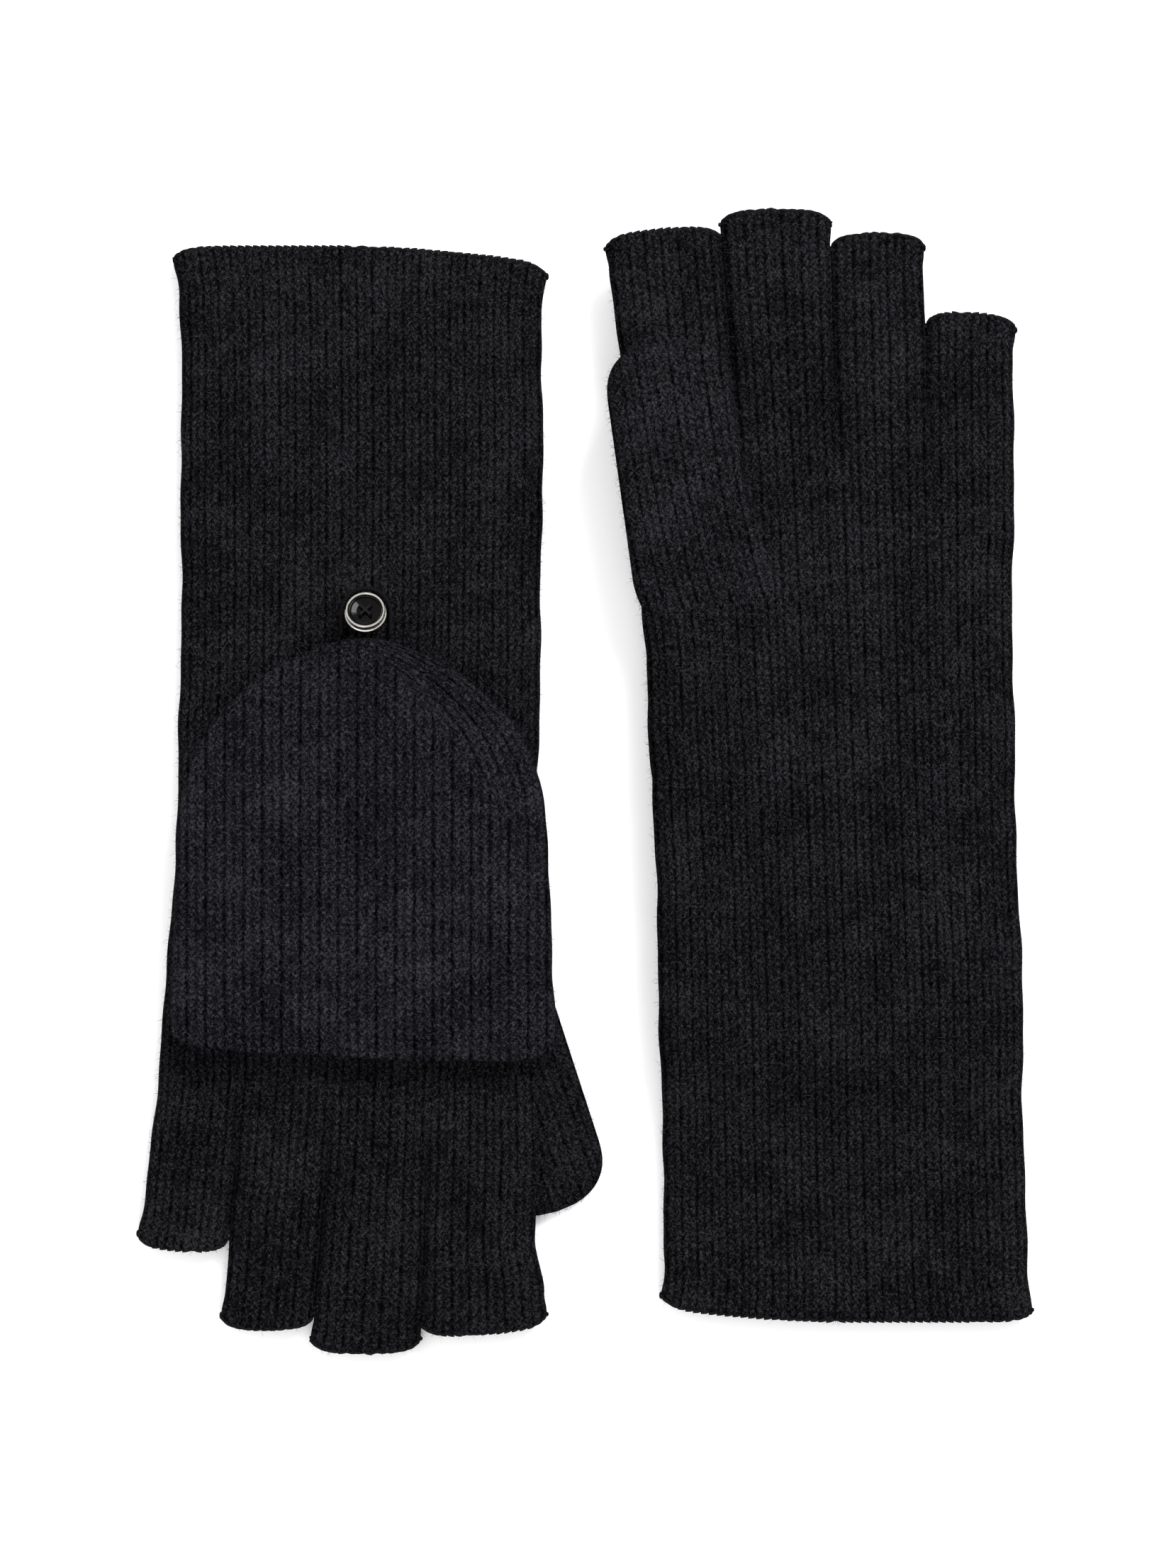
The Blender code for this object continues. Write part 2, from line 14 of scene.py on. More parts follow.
import bmesh
import bpy
import numpy as np
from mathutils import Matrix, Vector


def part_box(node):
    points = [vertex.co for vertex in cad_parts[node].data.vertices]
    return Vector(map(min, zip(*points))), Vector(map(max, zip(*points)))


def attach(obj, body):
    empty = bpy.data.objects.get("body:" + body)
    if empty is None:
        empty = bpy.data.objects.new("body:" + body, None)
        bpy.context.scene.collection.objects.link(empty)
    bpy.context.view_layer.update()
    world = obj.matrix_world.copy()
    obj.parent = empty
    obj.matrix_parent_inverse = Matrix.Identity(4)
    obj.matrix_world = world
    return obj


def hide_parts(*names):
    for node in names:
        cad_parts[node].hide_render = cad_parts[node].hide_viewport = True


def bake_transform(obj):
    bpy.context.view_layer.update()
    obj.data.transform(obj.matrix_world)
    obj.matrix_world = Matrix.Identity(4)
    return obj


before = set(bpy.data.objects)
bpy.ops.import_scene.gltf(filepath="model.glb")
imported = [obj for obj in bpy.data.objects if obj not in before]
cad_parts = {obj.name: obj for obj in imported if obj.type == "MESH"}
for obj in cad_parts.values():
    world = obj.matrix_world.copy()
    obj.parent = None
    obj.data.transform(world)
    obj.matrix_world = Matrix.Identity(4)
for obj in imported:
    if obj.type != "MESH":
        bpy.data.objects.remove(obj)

MM = 0.001
KNIT_UV = "knit"
LOG = logging.getLogger("mittens")


class Hand(Enum):
    """Which glove of the pair a piece belongs to."""

    RIGHT = "right"
    LEFT = "left"


# ---------------------------------------------------------------- small helpers


def linear(code: str) -> tuple[float, float, float, float]:
    """Turn an sRGB hex colour into linear RGBA.

    Args:
        code: Six hex digits after a hash sign.

    Returns:
        The linear colour, fully opaque.
    """
    parts = [int(code[i : i + 2], 16) / 255.0 for i in (1, 3, 5)]
    made = [c / 12.92 if c <= 0.04045 else ((c + 0.055) / 1.055) ** 2.4 for c in parts]
    return made[0], made[1], made[2], 1.0


def ease(start: float, end: float, value: Any) -> Any:
    """Rise evenly from 0 at start to 1 at end.

    Args:
        start: Where the rise begins.
        end: Where it is complete.
        value: A number or an array of numbers.

    Returns:
        The eased share, of value's own shape.
    """
    t = np.clip((value - start) / (end - start), 0.0, 1.0)
    return t * t * (3.0 - 2.0 * t)


def ripple(value: Any, wave: float, seed: float) -> Any:
    """An uneven wave between about -1 and 1.

    Args:
        value: Position along the edge, in metres.
        wave: Length of its longest wave, in metres.
        seed: Where in the wave it starts.

    Returns:
        The wave at each position.
    """
    a = 2.0 * math.pi * value / wave
    return (np.sin(a + seed) + 0.6 * np.sin(2.3 * a + 1.7 * seed) + 0.4 * np.sin(4.1 * a + 2.9 * seed)) / 2.0


def add_node(tree: bpy.types.NodeTree, kind: str, feeds: dict[Any, Any], **settings: Any) -> bpy.types.Node:
    """Add a node with its settings, values and links.

    Args:
        tree: The tree it goes in.
        kind: The node's type name.
        feeds: A value or another node's output for each of its inputs, by name or number.
        **settings: Attributes of the node, set before its inputs.

    Returns:
        The new node.
    """
    node = tree.nodes.new(kind)
    for name, value in settings.items():
        setattr(node, name, value)
    for key, value in feeds.items():
        if isinstance(value, bpy.types.NodeSocket):
            tree.links.new(value, node.inputs[key])
        else:
            node.inputs[key].default_value = value
    return node


def linked(name: str, data: bpy.types.ID) -> bpy.types.Object:
    """Make an object of some data and link it to the scene."""
    made = bpy.data.objects.new(name, data)
    bpy.context.scene.collection.objects.link(made)
    return made


def face_outward(mesh: bpy.types.Mesh) -> None:
    """Turn a closed mesh's faces outward and shade it smooth."""
    work = bmesh.new()
    work.from_mesh(mesh)
    bmesh.ops.recalc_face_normals(work, faces=work.faces)
    work.to_mesh(mesh)
    work.free()
    mesh.shade_smooth()


def rib_ridge(number: np.ndarray) -> np.ndarray:
    """Height of the ribs, every second one lower, from a rib number that rises across the knit."""
    return np.cos(2.0 * math.pi * number) * 0.5 + 0.5 - 0.32 * np.abs(((number + 1.0) % 2.0) - 1.0)


# ---------------------------------------------------------------- finishes


@dataclass(frozen=True)
class BrushedKnit:
    """Wool-blend yarn in one-by-one rib, brushed after knitting.

    Brushing lifts a haze of fibres, and the surface is matt and mottled. The ribs read as soft
    ridges through light and shade painted into the colour: near-black painted shade in the furrows
    between them, paler painted light on the crests.
    """

    name: str
    # The first colour is near-black painted shade for the furrows, the second the yarn's own colour, the
    # third painted light for the rib crests
    furrow_shade: str
    yarn: str
    crest: str
    relief: float = 0.45 * MM
    fibre: float = 0.75 * MM
    cloud: float = 14.0 * MM

    def make(self) -> bpy.types.Material:
        """Build the finish.

        Returns:
            The material, which reads the piece's own rib-and-course map.
        """
        made = bpy.data.materials.new(self.name)
        made.use_nodes = True
        tree = made.node_tree
        shader = tree.nodes["Principled BSDF"]
        place = add_node(tree, "ShaderNodeTexCoord", {})
        knit = add_node(tree, "ShaderNodeUVMap", {}, uv_map=KNIT_UV)
        wander = add_node(
            tree, "ShaderNodeTexNoise",
            {"Vector": knit.outputs[0], "Scale": 0.6, "Detail": 6.0, "Roughness": 0.75},
        )
        drift = add_node(
            tree, "ShaderNodeVectorMath",
            {0: wander.outputs["Color"], 1: (0.5, 0.5, 0.5)}, operation="SUBTRACT",
        )
        wound = add_node(
            tree, "ShaderNodeVectorMath",
            {0: drift.outputs[0], 1: (0.7, 1.5, 0.0), 2: knit.outputs[0]}, operation="MULTIPLY_ADD",
        )
        axes = add_node(tree, "ShaderNodeSeparateXYZ", {0: wound.outputs[0]})
        side = self._math(tree, "PINGPONG", axes.outputs[0], 0.5)
        side = self._math(tree, "MULTIPLY", side, 2.0)
        gully = self._math(tree, "POWER", side, 2.4)
        # Every second furrow is the deep one between a knit and the next knit rib: deeper in the bump and
        # darker in the painted shade of the colour
        turn = self._math(tree, "ADD", axes.outputs[0], 0.5)
        deep = self._math(tree, "PINGPONG", turn, 1.0)
        deep = self._math(tree, "MULTIPLY_ADD", deep, 0.5, 0.5)
        gully = self._math(tree, "MULTIPLY", gully, deep)
        broken = add_node(
            tree, "ShaderNodeTexNoise", {"Vector": knit.outputs[0], "Scale": 0.55, "Detail": 3.0}
        )
        broken = self._math(tree, "MULTIPLY_ADD", broken.outputs[0], 2.6, -0.62)
        gully = self._math(tree, "MULTIPLY", gully, broken)
        rib = self._math(tree, "SUBTRACT", 1.0, gully)
        lean = self._math(tree, "MULTIPLY_ADD", side, 0.95, axes.outputs[1])
        leg = self._math(tree, "PINGPONG", lean, 0.5)
        leg = self._math(tree, "MULTIPLY", leg, 2.0)
        loop = self._math(tree, "POWER", leg, 2.0)
        stitch = self._math(tree, "MULTIPLY_ADD", loop, -0.42, 1.0)
        relief = self._math(tree, "MULTIPLY", rib, stitch)
        haze = add_node(
            tree, "ShaderNodeTexNoise",
            {"Vector": place.outputs["Object"], "Scale": 1.0 / self.fibre, "Detail": 4.0, "Roughness": 0.8},
        )
        cloud = add_node(
            tree, "ShaderNodeTexNoise",
            {"Vector": place.outputs["Object"], "Scale": 1.0 / self.cloud, "Detail": 3.0},
        )
        wisp = add_node(
            tree, "ShaderNodeTexNoise",
            {"Vector": place.outputs["Object"], "Scale": 0.7 / self.fibre, "Detail": 2.0, "Distortion": 1.4},
        )
        wisp = self._math(tree, "ABSOLUTE", self._math(tree, "SUBTRACT", wisp.outputs[0], 0.5))
        wisp = self._math(tree, "MAXIMUM", self._math(tree, "MULTIPLY_ADD", wisp, -16.0, 1.0), 0.0)
        height = self._math(tree, "MULTIPLY_ADD", haze.outputs[0], 3.2, relief)
        height = self._math(tree, "MULTIPLY_ADD", wisp, 0.6, height)
        height = self._math(tree, "MULTIPLY_ADD", cloud.outputs[0], 0.7, height)
        # The colour ramp below paints shade and light from the relief: near-black painted shade in the
        # furrows and at the stitches' edges, paler painted light on the rib crests, mixed with the random
        # mottle of the haze, wisps and clouds
        level = self._math(tree, "MULTIPLY_ADD", height, 0.52, -1.06)
        ramp = add_node(tree, "ShaderNodeValToRGB", {0: level})
        stops = ramp.color_ramp.elements
        stops[0].position, stops[0].color = 0.0, linear(self.furrow_shade)
        stops[1].position, stops[1].color = 1.0, linear(self.crest)
        body = stops.new(0.42)
        body.color = linear(self.yarn)
        bump = add_node(
            tree, "ShaderNodeBump", {"Height": height, "Distance": self.relief, "Strength": 1.0}
        )
        tree.links.new(ramp.outputs[0], shader.inputs["Base Color"])
        tree.links.new(bump.outputs[0], shader.inputs["Normal"])
        shader.inputs["Roughness"].default_value = 0.95
        shader.inputs["Specular IOR Level"].default_value = 0.0
        return made

    @staticmethod
    def _math(tree: bpy.types.NodeTree, work: str, *feeds: Any) -> bpy.types.NodeSocket:
        """Add one arithmetic step and return its output."""
        return add_node(tree, "ShaderNodeMath", dict(enumerate(feeds)), operation=work).outputs[0]


@dataclass(frozen=True)
class PlainFinish:
    """A finish that is even but for a fine grain: metal plating, cast resin, fibre or thread."""

    name: str
    colour: str
    roughness: float
    metallic: float = 0.0
    grain: float = 0.0
    grain_depth: float = 0.02 * MM
    gloss: float = 0.5

    def make(self) -> bpy.types.Material:
        """Build the finish.

        Returns:
            The material, grained on Object coordinates where grain gives a size.
        """
        made = bpy.data.materials.new(self.name)
        made.use_nodes = True
        tree = made.node_tree
        shader = tree.nodes["Principled BSDF"]
        shader.inputs["Base Color"].default_value = linear(self.colour)
        shader.inputs["Roughness"].default_value = self.roughness
        shader.inputs["Metallic"].default_value = self.metallic
        shader.inputs["Specular IOR Level"].default_value = self.gloss
        if self.grain:
            place = add_node(tree, "ShaderNodeTexCoord", {})
            noise = add_node(
                tree, "ShaderNodeTexNoise",
                {"Vector": place.outputs["Object"], "Scale": 1.0 / self.grain, "Detail": 3.0},
            )
            bump = add_node(
                tree, "ShaderNodeBump", {"Height": noise.outputs[0], "Distance": self.grain_depth}
            )
            tree.links.new(bump.outputs[0], shader.inputs["Normal"])
        return made


# Brushed wool-blend rib: soft charcoal ridges with painted light on them, near-black painted shade between
# them
HAND_KNIT = BrushedKnit("brushed wool rib knit, hand", "#010101", "#101012", "#434347")
# The same yarn painted paler where the thumb stands proud of the palm: a lit copy of the hand's knit,
# standing for the light the raised thumb catches
LIT_THUMB_KNIT = BrushedKnit("brushed wool rib knit, thumb painted lighter", "#010101", "#131315", "#4a4a4f")
# The cap is the same yarn on a looser gauge and a little bluer, painted a little paler as a lit copy,
# standing for the light on the cap where it is raised over the hand
LIT_CAP_KNIT = BrushedKnit("brushed wool rib knit, cap painted lighter", "#010102", "#151518", "#4b4b52")
# Loose wool fibre, brushed up: catches light singly along the edges
FIBRE = PlainFinish("brushed wool fibre", "#303035", 0.95, gloss=0.0)
# Bound-off yarn at the openings: rounder and smoother than the brushed faces
EDGE_YARN = PlainFinish(
    "spun wool yarn, bound off", "#151517", 0.95, grain=0.3 * MM, grain_depth=0.2 * MM, gloss=0.0
)
# Plied wool cord of the loop
CORD_YARN = PlainFinish("plied wool cord", "#121214", 0.95, grain=0.35 * MM, grain_depth=0.2 * MM, gloss=0.0)
# Sewing thread, twisted polyester: fine dull grain
SEWING_THREAD = PlainFinish("spun polyester thread", "#0a0a0b", 0.8, grain=0.2 * MM, gloss=0.1)
# Nickel plate over brass, polished: a bright thin ring that mirrors the lights
NICKEL = PlainFinish("polished nickel plate", "#aeaba5", 0.24, metallic=1.0)
# Black polyester resin, cast and tumbled: a wet-looking dish
RESIN = PlainFinish("cast black polyester resin", "#020202", 0.1, gloss=0.1)
# Matt white paper sweep under the gloves
PAPER = PlainFinish("matt white paper", "#f4f4f4", 0.9)

DRESSED: dict[str, bpy.types.Material] = {}


def finished(finish: BrushedKnit | PlainFinish) -> bpy.types.Material:
    """The finish's one material, made when it is first asked for."""
    if finish.name not in DRESSED:
        DRESSED[finish.name] = finish.make()
    return DRESSED[finish.name]


def dress(obj: bpy.types.Object, finish: BrushedKnit | PlainFinish) -> None:
    """Give a piece its finish.

    Args:
        obj: The piece.
        finish: What it is made of.
    """
    obj.data.materials.clear()
    obj.data.materials.append(finished(finish))


# ---------------------------------------------------------------- surfaces


@dataclass
class Skin:
    """Quad patches that are welded into one closed surface with a rib-and-course map."""

    points: list[np.ndarray] = field(default_factory=list)
    corners: list[np.ndarray] = field(default_factory=list)
    maps: list[np.ndarray] = field(default_factory=list)
    count: int = 0

    def patch(self, place: np.ndarray, knit: np.ndarray) -> None:
        """Add a grid of points as quads.

        Args:
            place: Positions, rows by columns by three.
            knit: Rib and course number of each point, rows by columns by two.
        """
        rows, columns = place.shape[:2]
        grid = np.arange(rows * columns).reshape(rows, columns) + self.count
        quads = np.stack([grid[:-1, :-1], grid[:-1, 1:], grid[1:, 1:], grid[1:, :-1]], axis=-1)
        spread = np.stack([knit[:-1, :-1], knit[:-1, 1:], knit[1:, 1:], knit[1:, :-1]], axis=2)
        self.points.append(place.reshape(-1, 3))
        self.corners.append(quads.reshape(-1, 4))
        self.maps.append(spread.reshape(-1, 4, 2))
        self.count += rows * columns

    def close(self, name: str) -> bpy.types.Object:
        """Weld the patches and make the object.

        Args:
            name: The piece's name.

        Returns:
            The closed mesh object, at the origin, with its faces outward.
        """
        points = np.concatenate(self.points)
        corners = np.concatenate(self.corners)
        maps = np.concatenate(self.maps)
        _, first, home = np.unique(
            np.round(points / (0.002 * MM)).astype(np.int64), axis=0, return_index=True, return_inverse=True
        )
        corners = home.reshape(-1)[corners]
        faces, uvs = [], []
        for face, uv in zip(corners.tolist(), maps.tolist()):
            keep = [i for i in range(4) if face[i] != face[i - 1]]
            if len(set(face[i] for i in keep)) >= 3 and len(set(face)) == len(keep):
                faces.append([face[i] for i in keep])
                uvs.extend(uv[i] for i in keep)
        mesh = bpy.data.meshes.new(name)
        mesh.from_pydata(points[first].tolist(), [], faces)
        layer = mesh.uv_layers.new(name=KNIT_UV)
        layer.data.foreach_set("uv", np.array(uvs, np.float32).reshape(-1))
        face_outward(mesh)
        return linked(name, mesh)


@dataclass
class Sheets:
    """An upper and a lower sheet of knit, row by row, over one rib-and-course map."""

    upper: list[np.ndarray] = field(default_factory=list)
    lower: list[np.ndarray] = field(default_factory=list)
    maps: list[np.ndarray] = field(default_factory=list)

    def add(self, upper: np.ndarray, lower: np.ndarray, knit: np.ndarray) -> None:
        """Add a row to both sheets."""
        self.upper.append(upper)
        self.lower.append(lower)
        self.maps.append(knit)

    def put_on(self, skin: Skin) -> None:
        """Patch both sheets on a surface."""
        for sheet in (self.upper, self.lower):
            skin.patch(np.array(sheet), np.array(self.maps))

    def join(self, skin: Skin, row: int) -> None:
        """Close the space between the two sheets along one row."""
        skin.patch(np.array([self.upper[row], self.lower[row]]), np.array([self.maps[row]] * 2))


@dataclass(frozen=True)
class GlovePlace:
    """Where one glove lies: its own frame has finger tips to +Y, palm at 0 and back at +Z."""

    hand: Hand
    origin: float
    height: float

    @property
    def name(self) -> str:
        """The glove's name in the record."""
        return self.hand.value

    @property
    def glove_body(self) -> str:
        """The body that the glove's own pieces ride on."""
        return f"{self.name}_glove"

    @property
    def cap_body(self) -> str:
        """The body that the cap rides on."""
        return f"{self.name}_cap"

    def world(self, place: np.ndarray) -> np.ndarray:
        """Take points from the glove's frame to the shared frame.

        Args:
            place: Points with their three numbers on the last axis.

        Returns:
            The same points where the glove lies.
        """
        made = np.empty_like(place)
        turn = -1.0 if self.hand is Hand.RIGHT else 1.0
        made[..., 0] = turn * place[..., 0] + self.origin
        made[..., 1] = turn * place[..., 1]
        made[..., 2] = place[..., 2] if self.hand is Hand.RIGHT else self.height - place[..., 2]
        return made


# ---------------------------------------------------------------- grown details


def bake(obj: bpy.types.Object, name: str) -> bpy.types.Object:
    """Turn a piece with live nodes into a plain mesh.

    Args:
        obj: The object that carries the modifier. It is removed.
        name: The finished piece's name.

    Returns:
        The finished piece, with its place in its mesh.
    """
    bpy.context.view_layer.update()
    seen = obj.evaluated_get(bpy.context.evaluated_depsgraph_get())
    mesh = bpy.data.meshes.new_from_object(seen)
    bpy.data.objects.remove(obj)
    return linked(name, mesh)


class GrowTree:
    """A node tree on one object, its inputs set before it is first evaluated."""

    def __init__(self, name: str, sizes: dict[str, tuple[str, Any]]) -> None:
        """Start the tree with its named inputs."""
        self.tree = bpy.data.node_groups.new(name, "GeometryNodeTree")
        face = self.tree.interface
        face.new_socket("Geometry", in_out="INPUT", socket_type="NodeSocketGeometry")
        face.new_socket("Geometry", in_out="OUTPUT", socket_type="NodeSocketGeometry")
        self.keys = {}
        for label, (kind, value) in sizes.items():
            socket = face.new_socket(label, in_out="INPUT", socket_type=kind)
            self.keys[label] = (socket.identifier, value)
        self.source = self.tree.nodes.new("NodeGroupInput")

    def end(self, geometry: bpy.types.NodeSocket, finish: PlainFinish) -> None:
        """Close the tree: realize, give the finish, send out."""
        real = add_node(self.tree, "GeometryNodeRealizeInstances", {0: geometry})
        clad = add_node(
            self.tree, "GeometryNodeSetMaterial",
            {"Geometry": real.outputs[0], "Material": finished(finish)},
        )
        add_node(self.tree, "NodeGroupOutput", {0: clad.outputs[0]})

    def grow(self, host: bpy.types.Object, name: str) -> bpy.types.Object:
        """Run the tree on a host object.

        Args:
            host: The object whose mesh it starts from. It is removed.
            name: The finished piece's name.

        Returns:
            The grown piece as a plain mesh.
        """
        work = host.modifiers.new("grow", "NODES")
        work.node_group = self.tree
        for key, value in self.keys.values():
            work[key] = value
        return bake(host, name)


def plain_object(name: str, points: list, edges: list, faces: list) -> bpy.types.Object:
    """Link a small mesh object made from plain lists."""
    mesh = bpy.data.meshes.new(name)
    mesh.from_pydata(points, edges, faces)
    return linked(name, mesh)


@dataclass
class Fuzz:
    """Loose fibres brushed up from a knitted surface."""

    count: int
    length: float = 2.3 * MM
    radius: float = 0.06 * MM
    seed: int = 7

    def fibre(self) -> bpy.types.Object:
        """One bent fibre, a thin three-sided prism with closed ends."""
        points, faces = [], []
        for step in range(3):
            t = step / 2.0
            thick = self.radius * (1.0 - 0.6 * t)
            for k in range(3):
                a = 2.0 * math.pi * k / 3.0
                lean = 0.75 * self.length * t * t
                points.append(
                    (lean + thick * math.cos(a), thick * math.sin(a), self.length * (0.8 * t - 0.25 * t * t))
                )
        for step in range(2):
            for k in range(3):
                a, b = 3 * step + k, 3 * step + (k + 1) % 3
                faces.append((a, b, b + 3, a + 3))
        faces += [(2, 1, 0), (6, 7, 8)]
        return plain_object("fibre", points, [], faces)

    def build(self, on: bpy.types.Object, name: str) -> bpy.types.Object:
        """Grow the fibres on a finished surface.

        Args:
            on: The knitted piece.
            name: The fibres' own name.

        Returns:
            The fibres as one mesh.
        """
        area = sum(face.area for face in on.data.polygons)
        one = self.fibre()
        grow = GrowTree(
            "brushed_fibres",
            {
                "Density": ("NodeSocketFloat", self.count / area),
                "Seed": ("NodeSocketInt", self.seed),
                "Fibre": ("NodeSocketObject", one),
            },
        )
        tree, source = grow.tree, grow.source
        spread = add_node(
            tree, "GeometryNodeDistributePointsOnFaces",
            {"Mesh": source.outputs["Geometry"], "Density": source.outputs["Density"],
             "Seed": source.outputs["Seed"]},
        )
        turn = add_node(
            tree, "FunctionNodeRandomValue",
            {"Min": (-0.5, -0.5, 0.0), "Max": (0.5, 0.5, 2.0 * math.pi), "Seed": source.outputs["Seed"]},
            data_type="FLOAT_VECTOR",
        )
        tilt = add_node(tree, "FunctionNodeEulerToRotation", {0: turn.outputs["Value"]})
        aim = add_node(
            tree, "FunctionNodeRotateRotation",
            {"Rotation": spread.outputs["Rotation"], "Rotate By": tilt.outputs[0]}, rotation_space="LOCAL",
        )
        size = add_node(
            tree, "FunctionNodeRandomValue",
            {"Min": (0.45, 0.45, 0.45), "Max": (1.2, 1.2, 1.1), "Seed": source.outputs["Seed"]},
            data_type="FLOAT_VECTOR",
        )
        hair = add_node(tree, "GeometryNodeObjectInfo", {"Object": source.outputs["Fibre"]})
        stand = add_node(
            tree, "GeometryNodeInstanceOnPoints",
            {"Points": spread.outputs["Points"], "Instance": hair.outputs["Geometry"],
             "Rotation": aim.outputs[0], "Scale": size.outputs["Value"]},
        )
        grow.end(stand.outputs[0], FIBRE)
        made = grow.grow(linked(name + "_host", on.data.copy()), name)
        bpy.data.objects.remove(one)
        made.data.shade_smooth()
        return made

    def dress(self, on: bpy.types.Object, name: str, slot: str, body: str) -> bpy.types.Object:
        """Grow the fibres and put them on the body of the piece under them."""
        made = self.build(on, name)
        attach(made, body)
        return made


@dataclass
class ChainEdge:
    """The bound-off chain of yarn round an opening."""

    pitch: float = 2.05 * MM
    yarn: float = 0.55 * MM

    def link(self) -> bpy.types.Object:
        """One link of the chain: a slanted, pointed bead of yarn."""
        points, faces = [], []
        rings, sides = 5, 6
        for i in range(rings):
            t = i / (rings - 1)
            thick = self.yarn * (0.3 + 0.7 * math.sin(math.pi * (0.08 + 0.84 * t)))
            for k in range(sides):
                a = 2.0 * math.pi * k / sides
                points.append(
                    ((t - 0.5) * self.pitch * 1.45, thick * math.cos(a) + (t - 0.5) * 0.5 * self.pitch,
                     thick * math.sin(a))
                )
        for i in range(rings - 1):
            for k in range(sides):
                a, b = sides * i + k, sides * i + (k + 1) % sides
                faces.append((a, a + sides, b + sides, b))
        last = sides * (rings - 1)
        faces += [tuple(range(sides)), tuple(last + k for k in reversed(range(sides)))]
        made = plain_object("chain_link", points, [], faces)
        made.data.shade_smooth()
        return made

    def build(self, rings: list[np.ndarray], name: str) -> bpy.types.Object:
        """Lay the chain along closed paths.

        Args:
            rings: The paths, each a closed row of points in the shared frame.
            name: The piece's name.

        Returns:
            The chain as one mesh.
        """
        points, edges = [], []
        for ring in rings:
            start, size = len(points), len(ring)
            points.extend(ring.tolist())
            edges.extend((start + i, start + (i + 1) % size) for i in range(size))
        one = self.link()
        grow = GrowTree(
            "chain_edge",
            {"Pitch": ("NodeSocketFloat", self.pitch), "Link": ("NodeSocketObject", one)},
        )
        tree, source = grow.tree, grow.source
        path = add_node(tree, "GeometryNodeMeshToCurve", {"Mesh": source.outputs["Geometry"]})
        even = add_node(
            tree, "GeometryNodeResampleCurve",
            {"Curve": path.outputs[0], "Length": source.outputs["Pitch"]}, mode="LENGTH",
        )
        along = add_node(tree, "GeometryNodeInputTangent", {})
        aim = add_node(
            tree, "FunctionNodeAlignRotationToVector", {"Vector": along.outputs[0]}, axis="X",
        )
        bead = add_node(tree, "GeometryNodeObjectInfo", {"Object": source.outputs["Link"]})
        lay = add_node(
            tree, "GeometryNodeInstanceOnPoints",
            {"Points": even.outputs[0], "Instance": bead.outputs["Geometry"], "Rotation": aim.outputs[0]},
        )
        grow.end(lay.outputs[0], EDGE_YARN)
        made = grow.grow(plain_object(name + "_path", points, edges, []), name)
        bpy.data.objects.remove(one)
        return made


# ---------------------------------------------------------------- sub-assemblies


